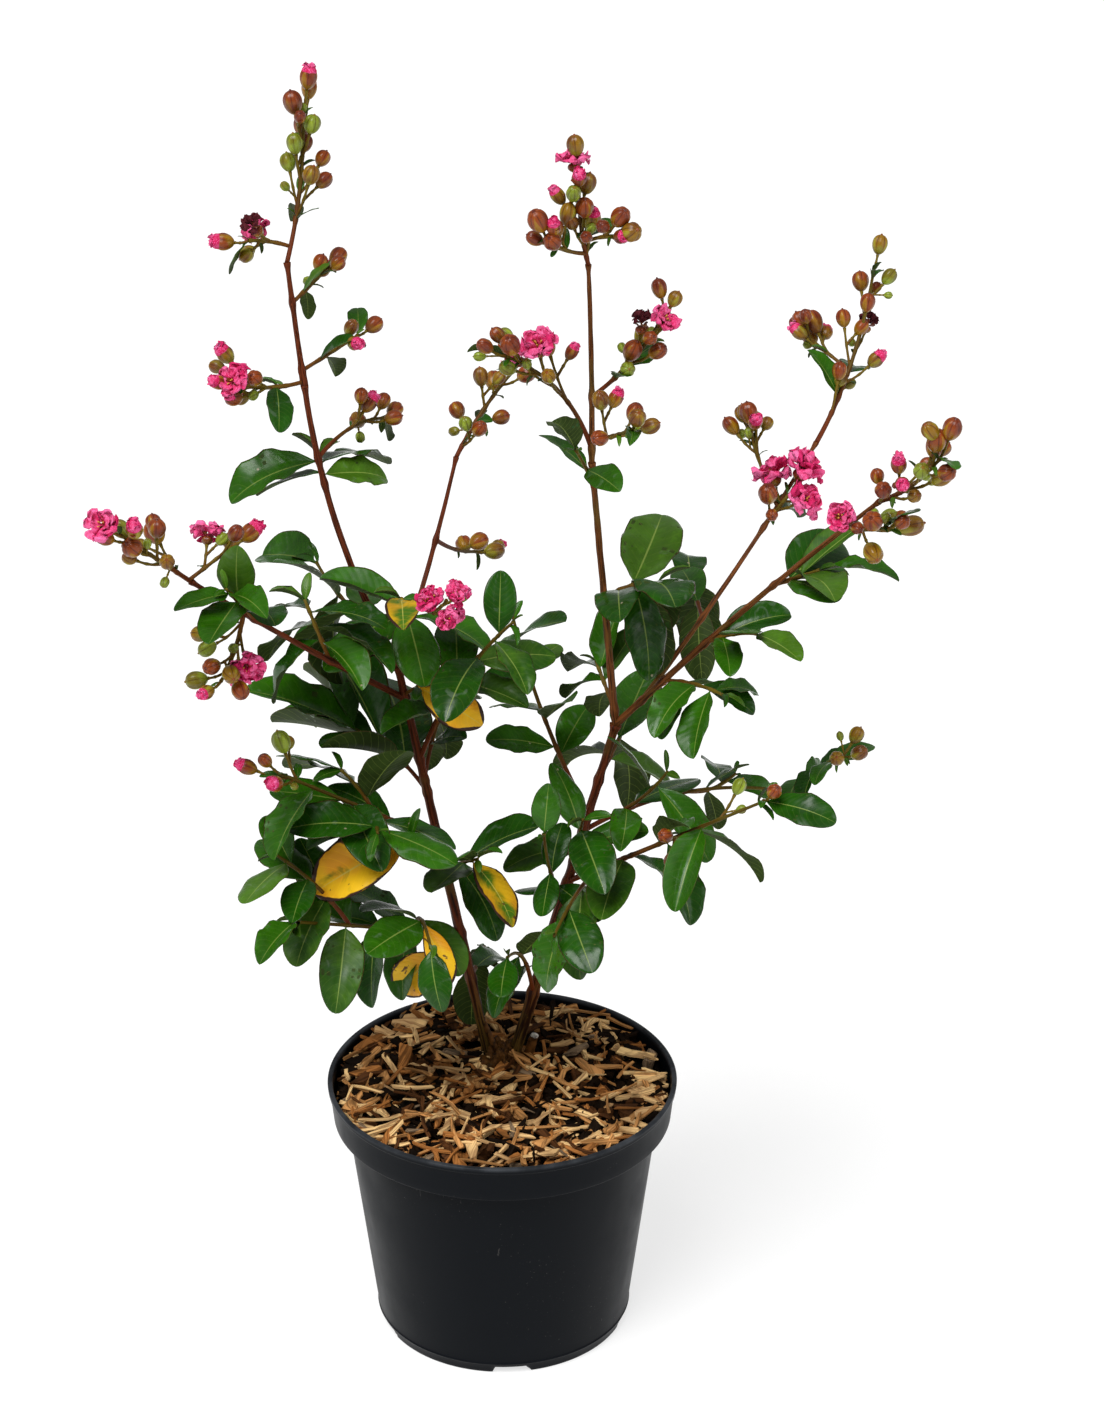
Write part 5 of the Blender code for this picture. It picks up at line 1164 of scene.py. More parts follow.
class Finish:
    """A node material under construction, with a short method for each kind of node that it uses."""

    def __init__(self, name, colour, roughness=0.5, **sockets):
        self.material = bpy.data.materials.new(name)
        self.material.use_nodes = True
        self.material.diffuse_color = (*colour, 1.0)
        self.tree = self.material.node_tree
        self.shader = self.tree.nodes["Principled BSDF"]
        self.shader.inputs["Base Color"].default_value = (*colour, 1.0)
        self.shader.inputs["Roughness"].default_value = roughness
        for socket, value in sockets.items():
            self.shader.inputs[socket.replace("_", " ").title().replace("Ior", "IOR")].default_value = value
        self.coords = self.node("TexCoord").outputs["Object"]
        self.skin = self.node("UVMap", uv_map="skin").outputs[0]
        place = self.node("SeparateXYZ", {0: self.skin})
        self.along, self.round = place.outputs[0], place.outputs[1]

    def node(self, kind, inputs=None, **settings):
        """A node whose inputs, by name or number, are linked to a socket or set to a value."""
        made = self.tree.nodes.new("ShaderNode" + kind)
        for key, value in settings.items():
            setattr(made, key, value)
        for key, value in (inputs or {}).items():
            if isinstance(value, bpy.types.NodeSocket):
                self.tree.links.new(value, made.inputs[key])
            else:
                made.inputs[key].default_value = value
        return made

    def sum(self, operation, *values):
        """What the named operation makes of one or two values."""
        return self.node("Math", dict(enumerate(values)), operation=operation).outputs[0]

    def times(self, a, b):
        return self.sum("MULTIPLY", a, b)

    def plus(self, a, b):
        return self.sum("ADD", a, b)

    def fade(self, value, low, high, start=0.0, end=1.0):
        """value taken from low to high onto start to end, with soft ends."""
        inputs = {"Value": value, "From Min": low, "From Max": high, "To Min": start, "To Max": end}
        return self.node("MapRange", inputs, interpolation_type="SMOOTHSTEP").outputs[0]

    def mix(self, share, a, b):
        """Colour a, turned into colour b by share."""
        a, b = (v if isinstance(v, bpy.types.NodeSocket) else (*v, 1.0) for v in (a, b))
        return self.node("Mix", {0: share, 6: a, 7: b}, data_type="RGBA").outputs[2]

    def stretched(self, where, stretch):
        """A vector, scaled by axis where a stretch is given."""
        if stretch is None:
            return where
        return self.node("Mapping", {"Vector": where, "Scale": stretch}).outputs[0]

    def noise(self, scale, detail=3.0, stretch=None, warp=0.0, on=None):
        """Noise from 0 to 1 over the object's space, or over another vector, stretched by axis."""
        where = self.stretched(on or self.coords, stretch)
        inputs = {"Vector": where, "Scale": scale, "Detail": detail, "Distortion": warp}
        return self.node("TexNoise", inputs).outputs["Fac"]

    def spots(self, scale, detail, low, high, most=1.0):
        """Noise from low to high, as a share from 0 to most."""
        return self.fade(self.noise(scale, detail), low, high, 0.0, most)

    def wound(self, length):
        """A place on a tube for noise to read: its turn as a circle of radius 1, and length times along."""
        turn = self.times(self.round, math.tau)
        parts = (self.sum("COSINE", turn), self.sum("SINE", turn), self.times(self.along, length))
        return self.node("CombineXYZ", dict(enumerate(parts))).outputs[0]

    def cells(self, scale, stretch=None):
        """Distance to the nearest of scattered points."""
        where = self.stretched(self.coords, stretch)
        return self.node("TexVoronoi", {"Vector": where, "Scale": scale}).outputs["Distance"]

    def done(self, colour, roughness=None, height=None, depth=0.0003, strength=0.6):
        """Links what was worked out to the shader and gives the material."""
        self.tree.links.new(colour, self.shader.inputs["Base Color"])
        if roughness is not None:
            self.tree.links.new(roughness, self.shader.inputs["Roughness"])
        if height is not None:
            bump = self.node("Bump", {"Strength": strength, "Distance": depth, "Height": height})
            self.tree.links.new(bump.outputs[0], self.shader.inputs["Normal"])
        return self.material


def tinted(colour, light):
    """A colour made lighter or darker by a factor."""
    return tuple(min(1.0, c * light) for c in colour)


def blended(a, b, share):
    """Colour a, turned into colour b by share."""
    return tuple((1.0 - share) * x + share * y for x, y in zip(a, b))


def plastic_finish(colour, roughness):
    """Black moulded plastic: a faint mottle, fine flow marks, pale dust specks, scuffs and a painted
    highlight on its lip.
    """
    made = Finish("pot_plastic", colour, roughness, specular_ior_level=0.06)
    mottle = made.noise(34.0, 5.0)
    flow = made.noise(60.0, 3.0, (1.0, 1.0, 0.12))
    dust = made.spots(900.0, 2.0, 0.70, 0.78)
    place = made.noise(14.0, 2.0)
    dust = made.times(dust, made.fade(place, 0.52, 0.66, 0.0, 0.5))
    scuffs = made.fade(made.noise(420.0, 2.0, (1.0, 1.0, 0.3), 1.2), 0.73, 0.77, 0.0, 0.35)
    worn = made.sum("MAXIMUM", dust, made.times(scuffs, made.fade(place, 0.45, 0.7)))
    shade = made.mix(mottle, tinted(colour, 0.86), tinted(colour, 1.22))
    shade = made.mix(worn, shade, (0.16, 0.15, 0.14))
    up = made.node("SeparateXYZ", {0: made.coords}).outputs[2]
    lip = made.fade(up, POT_HEIGHT - 0.0030, POT_HEIGHT - 0.0005)
    # Painted highlight: a paler grey band round the top of the lip, broken up by the flow marks.
    shade = made.mix(made.times(lip, made.fade(flow, 0.3, 0.7, 0.25, 0.8)), shade, (0.055, 0.060, 0.068))
    satin = made.plus(mottle, made.times(flow, 0.5))
    rough = made.fade(satin, 0.4, 1.0, roughness - 0.05, roughness + 0.09)
    rough = made.sum("SUBTRACT", rough, made.times(lip, 0.12))
    height = made.plus(made.times(flow, 0.5), made.times(made.noise(1500.0, 1.0), 0.25))
    return made.done(shade, rough, height, 0.00012, 0.35)


def soil_finish(colour):
    """Damp potting mix: dark crumbs with a few paler fibres and specks, its near-black partly painted shade
    in the gaps between the chips.
    """
    made = Finish("soil", colour, 0.92, specular_ior_level=0.1)
    crumbs = made.cells(420.0)
    shade = made.mix(made.fade(crumbs, 0.1, 0.8), tinted(colour, 2.4), tinted(colour, 0.5))
    shade = made.mix(made.spots(700.0, 2.0, 0.64, 0.72, 0.7), shade, (0.16, 0.10, 0.05))
    return made.done(shade, None, made.plus(made.noise(300.0, 5.0), crumbs), 0.0012, 0.8)


def chip_finish(name, colour):
    """Split wood: grain that runs along the chip, darker streaks, and darker patches a few centimetres wide
    by place in the pot.
    """
    made = Finish(name, colour, 0.70, specular_ior_level=0.05)
    large = made.node("VectorMath", {0: made.coords, 1: (9.0, 9.0, 9.0)}, operation="MULTIPLY").outputs[0]
    place = made.node("VectorMath", {0: made.skin, 1: large}, operation="ADD").outputs[0]
    grain = made.noise(1.0, 3.0, (1.2, 34.0, 1.0), 0.3, place)
    streak = made.noise(1.0, 3.0, (2.2, 7.0, 1.0), 0.5, place)
    shade = made.mix(made.fade(grain, 0.32, 0.60), tinted(colour, 0.36), tinted(colour, 1.25))
    shade = made.mix(made.fade(streak, 0.48, 0.66, 0.0, 0.8), shade, tinted(colour, 0.30))
    # Darker patches a few centimetres wide, set by place over the heap.
    shade = made.mix(made.spots(26.0, 2.0, 0.46, 0.64, 0.7), shade, tinted(colour, 0.30))
    return made.done(shade, None, grain, 0.0004, 0.8)


def bark_finish(name, colour, young, dark, size=0.0, earthy=0.0):
    """Thin bark: fine streaks along the stem, pale pores and darker patches, olive where it is young, and
    furrows made darker partly by painted shade.

    A stem turns a furrowed grey-brown over its lowest part, up to the share earthy of its length. With a
    size, the streaks give way to lumps of about that many in a metre.
    """
    made = Finish(name, colour, 0.55, specular_ior_level=0.07)
    streaks = made.noise(size, 4.0) if size else made.noise(2.4, 4.0, None, 0.25, made.wound(5.0))
    pores = made.cells(380.0, (1.0, 1.0, 0.55))
    patches = made.noise(38.0, 3.0)
    # The streaks that sink the bump also set the tone, lighter on the ridges and darker in the furrows:
    # partly the bark's own streaks, partly painted shade.
    shade = made.mix(made.fade(streaks, 0.36, 0.64), tinted(colour, 0.5), tinted(colour, 1.5))
    shade = made.mix(made.fade(patches, 0.5, 0.68, 0.0, 0.7), shade, young)
    if earthy:
        reach = made.plus(made.along, made.times(patches, 0.12))
        ground = made.mix(made.fade(streaks, 0.42, 0.60), dark, tinted(young, 1.1))
        shade = made.mix(made.fade(reach, earthy + 0.08, 0.12), shade, ground)
    shade = made.mix(made.fade(pores, 0.18, 0.05, 0.0, 0.6), shade, tinted(young, 2.0))
    # Near-black in the deepest furrows: partly their own dark brown, partly painted shade in them.
    shade = made.mix(made.fade(streaks, 0.42, 0.30, 0.0, 0.85), shade, dark)
    rough = made.fade(streaks, 0.3, 0.7, 0.38, 0.62)
    return made.done(shade, rough, made.sum("SUBTRACT", streaks, made.times(pores, 0.3)), 0.0005, 0.7)


def twig_finish(name, foot, tip):
    """A shoot's skin, from the colour at its foot to the one at its tip, finely streaked."""
    made = Finish(name, foot, 0.48, specular_ior_level=0.10)
    streaks = made.noise(1.6, 3.0, None, 0.2, made.wound(4.0))
    share = made.fade(made.plus(made.along, made.times(made.noise(90.0, 2.0), 0.4)), 0.25, 0.95)
    shade = made.mix(share, foot, tip)
    shade = made.mix(made.fade(streaks, 0.52, 0.34, 0.0, 0.7), shade, tinted(foot, 0.35))
    return made.done(shade, None, streaks, 0.0003, 0.5)


def leaf_lines(made):
    """(distance from the midrib, midrib, side veins, distance from one), of veins that sweep forward."""
    turn = made.times(made.round, math.tau)
    out = made.sum("ABSOLUTE", made.sum("COSINE", turn))
    midrib = made.fade(made.plus(out, made.times(made.along, 0.025)), 0.060, 0.02)
    sweep = made.times(made.sum("POWER", out, 1.5), 2.0)
    place = made.sum("SUBTRACT", made.times(made.along, VEIN_PAIRS), sweep)
    place = made.plus(place, made.times(made.noise(55.0, 1.0), 0.5))
    near = made.sum("PINGPONG", place, 0.5)
    veins = made.fade(near, 0.075, 0.0)
    return out, midrib, veins, near


def leaf_finish(name, colour, light, vein, gloss):
    """A glossy leaf: mottled green, pale midrib and side veins, a thin brown edge, and a few blemishes."""
    made = Finish(name, colour, gloss, specular_ior_level=0.22)
    out, midrib, veins, near = leaf_lines(made)
    patches = made.noise(46.0, 3.0)
    shade = made.mix(made.fade(patches, 0.35, 0.72), colour, light)
    shade = made.mix(made.spots(160.0, 3.0, 0.5, 0.75, 0.5), shade, tinted(light, 1.25))
    shade = made.mix(made.times(veins, 0.09), shade, vein)
    shade = made.mix(made.times(midrib, 0.7), shade, vein)
    # Pale grey-green patches over at most a tenth of the colour.
    pale_patches = made.fade(made.noise(75.0, 4.0, None, 1.5), 0.60, 0.72, 0.0, 0.10)
    shade = made.mix(pale_patches, shade, (0.42, 0.47, 0.42))
    marks = made.fade(made.cells(52.0), 0.055, 0.03, 0.0, 0.75)
    shade = made.mix(marks, shade, (0.35, 0.30, 0.20))
    ragged = made.plus(out, made.times(made.noise(240.0, 2.0), 0.05))
    shade = made.mix(made.fade(ragged, 0.995, 1.020, 0.0, 0.6), shade, (0.10, 0.04, 0.018))
    quilt = made.fade(near, 0.0, 0.5)
    rough = made.fade(made.noise(120.0, 3.0), 0.3, 0.7, gloss - 0.07, gloss + 0.12)
    fine = made.times(made.noise(900.0, 2.0), 0.12)
    height = made.sum("SUBTRACT", made.plus(quilt, fine), made.times(midrib, 1.2))
    return made.done(shade, rough, height, 0.0003, 0.12)


def underside_finish(name, colour, vein):
    """The dull back of a leaf, olive grey, with its midrib and veins raised and paler."""
    made = Finish(name, colour, 0.58, specular_ior_level=0.10)
    out, midrib, veins, _ = leaf_lines(made)
    shade = made.mix(made.spots(60.0, 3.0, 0.3, 0.75), tinted(colour, 0.75), tinted(colour, 1.25))
    shade = made.mix(made.times(veins, 0.35), shade, vein)
    shade = made.mix(made.times(midrib, 0.9), shade, vein)
    shade = made.mix(made.fade(out, 0.985, 1.0, 0.0, 0.7), shade, (0.12, 0.05, 0.02))
    height = made.plus(made.times(veins, 0.6), midrib)
    return made.done(shade, None, height, 0.0004, 0.5)


def turning_finish(name, colour, green, greenness, burnt):
    """A leaf that turns: yellow with some green left at its midrib, brown blotches and a burnt edge."""
    made = Finish(name, colour, 0.42, specular_ior_level=0.2)
    out, midrib, veins, near = leaf_lines(made)
    cloud = made.noise(48.0, 4.0, None, 0.8)
    warm = made.plus(made.noise(34.0, 2.0), made.times(out, 0.12))
    shade = made.mix(made.fade(warm, 0.52, 0.72), colour, (0.9 * colour[0], 0.66 * colour[1], colour[2]))
    left = made.plus(cloud, made.times(out, -0.18))
    shade = made.mix(made.fade(left, 0.55 - greenness, 0.77 - greenness), shade, green)
    shade = made.mix(made.times(veins, 0.25), shade, tinted(colour, 1.3))
    shade = made.mix(made.times(midrib, 0.6), shade, (0.62, 0.55, 0.12))
    blotch = made.fade(made.noise(120.0, 3.0, None, 0.6), 0.64, 0.68, 0.0, 0.95)
    shade = made.mix(blotch, shade, (0.09, 0.035, 0.01))
    edge = made.plus(out, made.times(made.noise(44.0, 3.0), burnt))
    edge = made.plus(edge, made.fade(made.along, 0.72, 1.0, 0.0, 0.35))
    shade = made.mix(made.fade(edge, 0.88 + 0.5 * burnt, 0.93 + 0.5 * burnt), shade, (0.035, 0.014, 0.008))
    return made.done(shade, None, made.fade(near, 0.0, 0.5), 0.0003, 0.3)


def bud_finish(name, foot, cheek, tip, seam):
    """A bud's skin: a flushed cheek, three wedges in the foot's colour that narrow upwards, six seams, and
    patches of painted shade.
    """
    made = Finish(name, cheek, 0.26, specular_ior_level=0.30)
    seams = made.sum("COSINE", made.times(made.round, 6.0 * math.tau))
    patches = made.noise(130.0, 3.0)
    uneven = made.sum("SUBTRACT", patches, 0.5)
    flush = made.plus(made.along, made.times(uneven, 1.1))
    shade = made.mix(made.fade(flush, 0.12, 0.45), foot, cheek)
    wedge = made.sum("COSINE", made.times(made.round, 3.0 * math.tau))
    wedge = made.sum("SUBTRACT", wedge, made.times(made.along, 1.5))
    wedge = made.plus(wedge, made.times(uneven, 0.8))
    shade = made.mix(made.fade(wedge, -0.05, 0.12, 0.0, 0.85), shade, tinted(foot, 1.35))
    # Painted shade: dark maroon patches about a centimetre wide that darken part of each bud and calyx.
    shade = made.mix(made.spots(75.0, 2.0, 0.45, 0.65, 0.7), shade, tinted(seam, 1.1))
    shade = made.mix(made.fade(made.along, 0.80, 1.0, 0.0, 0.9), shade, tip)
    lines = made.times(made.fade(seams, -0.78, -1.0), made.fade(made.along, 0.15, 0.6, 0.15, 0.65))
    shade = made.mix(lines, shade, tinted(seam, 0.5))
    shade = made.mix(made.spots(900.0, 2.0, 0.55, 0.72, 0.12), shade, tinted(cheek, 1.6))
    rough = made.fade(patches, 0.3, 0.7, 0.22, 0.38)
    return made.done(shade, rough, made.plus(seams, patches), 0.0003, 0.3)


def petal_finish(name, colour, deep, pale):
    """A petal: deep at its stalk, partly as painted shade in the throat, paler at its edge, pleated in two
    pinks and flecked with a near-white.
    """
    made = Finish(name, colour, 0.55, specular_ior_level=0.06)
    veins = made.noise(1.0, 3.0, (2.2, 36.0, 1.0), 0.3, made.skin)
    # Deep towards the stalk: partly the petal's own deeper pink, partly painted shade in the flower's throat.
    shade = made.mix(made.fade(made.along, 0.15, 0.60), deep, colour)
    shade = made.mix(made.fade(made.along, 0.6, 1.0, 0.0, 0.55), shade, pale)
    shade = made.mix(made.fade(veins, 0.48, 0.70, 0.0, 0.55), shade, blended(colour, deep, 0.6))
    shade = made.mix(made.spots(190.0, 3.0, 0.50, 0.70, 0.55), shade, pale)
    shade = made.mix(made.spots(1500.0, 2.0, 0.54, 0.64, 0.55), shade, tinted(pale, 1.5))
    return made.done(shade, None, made.plus(veins, made.noise(700.0, 2.0)), 0.0004, 0.5)


def stamen_finish(name, stalk, head):
    """A stamen, pink along its stalk and yellow at its head."""
    made = Finish(name, head, 0.6)
    shade = made.mix(made.fade(made.along, 0.6, 0.75), stalk, head)
    return made.done(shade, None, made.noise(1500.0, 2.0), 0.0001, 0.3)


# What a user may change


def colour(name, description, default):
    """A colour property in linear RGB."""
    return FloatVectorProperty(
        name=name, description=description, default=default, subtype="COLOR", size=3, min=0.0, max=1.0
    )


def amount(name, description, default, most, **kind):
    """A number from 0 to most."""
    return FloatProperty(name=name, description=description, default=default, min=0.0, max=most, **kind)


def size(name, description, default, most):
    """A length in metres."""
    return amount(name, description, default, most, unit="LENGTH", precision=5)


class PotSettings(bpy.types.PropertyGroup):
    plastic: colour("Plastic", "Colour of the moulded wall", (0.0034, 0.0044, 0.0060))
    roughness: amount("Roughness", "How dull the plastic is", 0.36, 1.0, subtype="FACTOR")
    lip: size("Lip", "Height of the rounded lip", 0.0042, 0.01)
    # Near-black: partly the damp mix's own dark brown, partly painted shade in the gaps between the chips.
    soil: colour("Soil", "Colour of the damp potting mix", (0.004, 0.0022, 0.0012))


class ChipSettings(bpy.types.PropertyGroup):
    count: IntProperty(
        name="Chips", description="How many wood chips cover the soil", default=1080, min=0, max=2500
    )
    scale: FloatProperty(name="Scale", description="Size of the chips", default=1.0, min=0.5, max=2.0)
    straw: colour("Straw", "Palest split wood", (1.0, 0.535, 0.235))
    tan: colour("Tan", "Weathered wood", (0.56, 0.265, 0.088))
    honey: colour("Honey", "Orange heartwood", (0.40, 0.155, 0.040))
    brown: colour("Brown", "Old wood", (0.090, 0.034, 0.011))
    bark: colour("Bark", "Dark bark pieces", (0.011, 0.0055, 0.0026))
    grey: colour("Grey", "Greyed wood", (0.26, 0.175, 0.105))


class WoodSettings(bpy.types.PropertyGroup):
    bark: colour("Bark", "Reddish-brown bark of the stems", (0.090, 0.019, 0.006))
    young: colour("Young bark", "Olive bark of the knobs and thin boughs", (0.092, 0.053, 0.011))
    # In the furrows this near-black is partly their own colour and partly painted shade.
    dark: colour("Furrows", "Dark brown of the furrows", (0.013, 0.0045, 0.0025))
    relief: amount("Ridges", "Height of the bark's ridges", 0.055, 0.2)
    twig: colour("Twig", "Reddish foot of a shoot", (0.125, 0.025, 0.006))
    tip: colour("Twig tip", "Green tip of a shoot", (0.150, 0.105, 0.010))
    cut: colour("Cut wood", "Greyed ends of cut stems", (0.46, 0.43, 0.38))


class LeafSettings(bpy.types.PropertyGroup):
    deep: colour("Deep green", "Oldest leaves", (0.0075, 0.043, 0.0012))
    middle: colour("Middle green", "Most leaves", (0.0175, 0.079, 0.0018))
    fresh: colour("Fresh green", "Young leaves", (0.045, 0.118, 0.0050))
    vein: colour("Midrib", "Midrib and veins", (0.24, 0.32, 0.065))
    underside: colour("Underside", "Dull back of a leaf", (0.034, 0.060, 0.010))
    gold: colour("Gold", "Leaves about to fall", (0.80, 0.47, 0.011))
    rust: colour("Orange", "Leaves turned further", (0.76, 0.42, 0.012))
    thickness: size("Thickness", "Half the thickness of a blade", 0.00014, 0.001)


class BloomSettings(bpy.types.PropertyGroup):
    bud: colour("Bud", "Rosy brown cheek of a bud", (0.235, 0.046, 0.007))
    olive: colour("Olive bud", "Olive cheek of a younger bud", (0.235, 0.118, 0.006))
    green: colour("Green bud", "Small green buds", (0.205, 0.265, 0.022))
    seam: colour("Bud seam", "Seams and tip of a bud", (0.085, 0.012, 0.008))
    petal: colour("Petal", "Hot pink petals", (0.66, 0.026, 0.140))
    pale: colour("Pale petal", "Ruffled edges", (0.84, 0.150, 0.350))
    # Darker than the petal's own pink: partly painted shade in the throat.
    deep: colour("Deep petal", "Throat of a flower", (0.420, 0.006, 0.045))
    faded: colour("Faded petal", "Spent petals", (0.055, 0.009, 0.012))
    stamen: colour("Stamen", "Yellow heads of the stamens", (0.60, 0.34, 0.05))


class StudioSettings(bpy.types.PropertyGroup):
    floor: colour("Floor", "Pale floor", (0.34, 0.34, 0.34))
    sky: amount("Surrounding light", "Light from all round", 0.30, 10.0)
    sun: amount("Key light", "Strength of the wide key light", 3.3, 100.0)
    fill: amount("Fill light", "Power of the light opposite", 10.0, 1000.0, subtype="POWER")


# One operator for each kind of piece


def nodes_in(slot):
    """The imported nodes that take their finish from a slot."""
    rows = frame["record"]["subparts"]
    return [row["node"] for row in rows if row["material_slot"] == slot]


def poised(shoot, leaf):
    """The leaf, laid as the table of turned leaves has it."""
    if shoot.name not in POISED:
        return leaf
    ahead, face, longer, wider = POISED[shoot.name]
    ahead = unit(np.array(ahead))
    face = np.array(face)
    face = unit(face - ahead * float(face @ ahead))
    return leaf._replace(ahead=ahead, face=face, length=leaf.length * longer, width=leaf.width * wider)


def all_leaves():
    """(shoot, leaf, whether it is a young one) for every leaf of the plant."""
    axes, grown = grow()
    found = []
    for shoot in SHOOTS:
        _, leaves, buds = grown[shoot.name]
        found += [(shoot, i, leaf, False) for i, leaf in enumerate(leaves)]
        found += [(shoot, -1, leaf, True) for leaf in finer_leaves(shoot, axes[shoot.name], leaves, buds)]
    return found


def all_buds(*kinds):
    """Every bud or flower of these kinds, with those on forks of the twigs."""
    _, grown = grow()
    found = []
    for shoot in SHOOTS:
        buds = grown[shoot.name][2]
        found += [bud for bud in buds + finer_twigs(shoot, buds) if bud.kind in kinds]
    return found


def open_flowers():
    """The open flowers: nearly full size on FULL_BLOOM, split in three on TUFTED, smaller elsewhere."""
    rng = np.random.default_rng(59)
    _, grown = grow()
    found = []
    for shoot in SHOOTS:
        for bud in grown[shoot.name][2]:
            if bud.kind != "open":
                continue
            share = 0.98 if shoot.name == FULL_BLOOM else rng.uniform(0.66, 0.84)
            places = [np.zeros(3)]
            if shoot.name == TUFTED:
                share = 0.48
                places = [0.0075 * around(bud.ahead, turn) - 0.002 * bud.ahead for turn in TUFT_TURNS]
            for place in places:
                ahead = unit(bud.ahead + 60.0 * place)
                found.append(bud._replace(twig=bud.twig + place, ahead=ahead, radius=share * bud.radius))
    return found


def bursting_tips():
    """Balls of petals that push out of about one bud in seven, as smaller buds."""
    rng = np.random.default_rng(60)
    buds = all_buds("bud")
    found = []
    for bud, radius, tall in zip(buds, *bud_sizes(buds, BUD_SEED)):
        if rng.random() < 0.15:
            found.append(bud._replace(twig=bud.twig + bud.ahead * 0.62 * tall * radius, radius=0.90 * radius))
    return found


class PLANT_OT_pot(bpy.types.Operator):
    """Turn the nursery pot with its lip, band, mould line and foot notches"""

    bl_idname = "plant.pot"
    bl_label = "Pot"

    def execute(self, context):
        settings = context.scene.plant_pot
        skins = Skins()
        skins.add(pot_rings(settings.lip))
        finish = plastic_finish(settings.plastic, settings.roughness)
        skins.made("nursery_pot", "pot_plastic", ["pot"], [finish])
        return {"FINISHED"}


class PLANT_OT_soil(bpy.types.Operator):
    """Fill the pot with potting mix"""

    bl_idname = "plant.soil"
    bl_label = "Soil"

    def execute(self, context):
        skins = Skins()
        skins.add(soil_rings())
        skins.made("potting_mix", "soil", ["soil"], [soil_finish(context.scene.plant_pot.soil)])
        return {"FINISHED"}


class PLANT_OT_chips(bpy.types.Operator):
    """Strew wood chips, splinters, shreds and bark pieces over the soil"""

    bl_idname = "plant.chips"
    bl_label = "Wood chips"

    def execute(self, context):
        settings = context.scene.plant_chips
        tones = ("straw", "tan", "honey", "brown", "bark", "grey")
        finishes = [chip_finish(f"wood_{tone}", getattr(settings, tone)) for tone in tones]
        rng = np.random.default_rng(12)
        skins = Skins()
        for kind, share, weights in CHIP_KINDS:
            count = int(settings.count * share)
            rings = chip_rings(kind, count, settings.scale, rng)
            skins.add(rings, finish=rng.choice(len(tones), count, p=weights))
        skins.made("wood_chips", "wood_chips", ["mulch"], finishes, smooth=False)
        return {"FINISHED"}


class PLANT_OT_wood(bpy.types.Operator):
    """Clothe the stems, boughs and crown in bark"""

    bl_idname = "plant.wood"
    bl_label = "Stems and boughs"

    def execute(self, context):
        settings = context.scene.plant_wood
        axes, _ = grow()
        skins = Skins()
        for limb in LIMBS:
            knots = [row.share for row in (*LIMBS, *SHOOTS) if row.on == limb.name]
            rings = limb_rings(limb, axes[limb.name], knots, settings.relief)
            warm = limb.name.startswith(("centre", "right", "back"))
            skins.add(rings, finish=4 if not limb.on else int(warm))
        skins.add(crown_rings(), finish=2)
        skins.add(stub_rings(*CUT_STUB), finish=2)
        _, cut, _, radius, seed = CUT_STUB
        top = np.array(cut) + (0.0003, 0.0, 0.0011)
        skins.add(stub_rings(cut, top, radius, 0.8 * radius, seed), finish=3)
        skins.add(stub_rings(*SIDE_STEM), finish=2)
        red, olive, dark = settings.bark, settings.young, settings.dark
        finishes = [
            bark_finish("red_bark", red, tinted(red, 1.5), dark),
            bark_finish("warm_bark", tinted(blended(red, olive, 0.3), 1.35), tinted(olive, 1.4), dark),
            bark_finish("crown_bark", tinted(blended(olive, red, 0.5), 0.85), olive, dark, 240.0),
            bark_finish("cut_wood", settings.cut, tinted(settings.cut, 0.6), dark, 300.0),
            bark_finish("stem_bark", red, olive, dark, 0.0, 0.30),
        ]
        skins.made("stems_and_boughs", "bark", nodes_in("bark"), finishes)
        return {"FINISHED"}


class PLANT_OT_shoots(bpy.types.Operator):
    """Grow the leafy shoots and the stalks of buds and flowers"""

    bl_idname = "plant.shoots"
    bl_label = "Shoots and stalks"

    def execute(self, context):
        settings = context.scene.plant_wood
        axes, grown = grow()
        skins = Skins()
        for shoot in SHOOTS:
            path = axes[shoot.name]
            _, leaves, buds = grown[shoot.name]
            roots = [leaf.root for leaf in leaves] + [bud.twig[0] for bud in buds]
            nodes = [np.linalg.norm(path - root, axis=1).argmin() / (len(path) - 1) for root in roots]
            rings = shoot_rings(shoot, path, nodes)
            skins.add(rings, finish=1 if shoot.length < 60 else 0)
        stalks = all_buds("bud", "green", "open", "faded")
        skins.add(stalk_rings(stalks), finish=[3 if bud.kind == "green" else 2 for bud in stalks])
        finishes = [
            twig_finish("shoot_red", settings.twig, tinted(settings.tip, 0.6)),
            twig_finish("shoot_olive", blended(settings.twig, settings.tip, 0.25), tinted(settings.tip, 0.9)),
            twig_finish("stalk_olive", blended(settings.twig, settings.tip, 0.5), settings.tip),
            twig_finish("stalk_green", settings.tip, tinted(settings.tip, 1.3)),
        ]
        skins.made("shoots", "bark", nodes_in("leaf"), finishes)
        return {"FINISHED"}


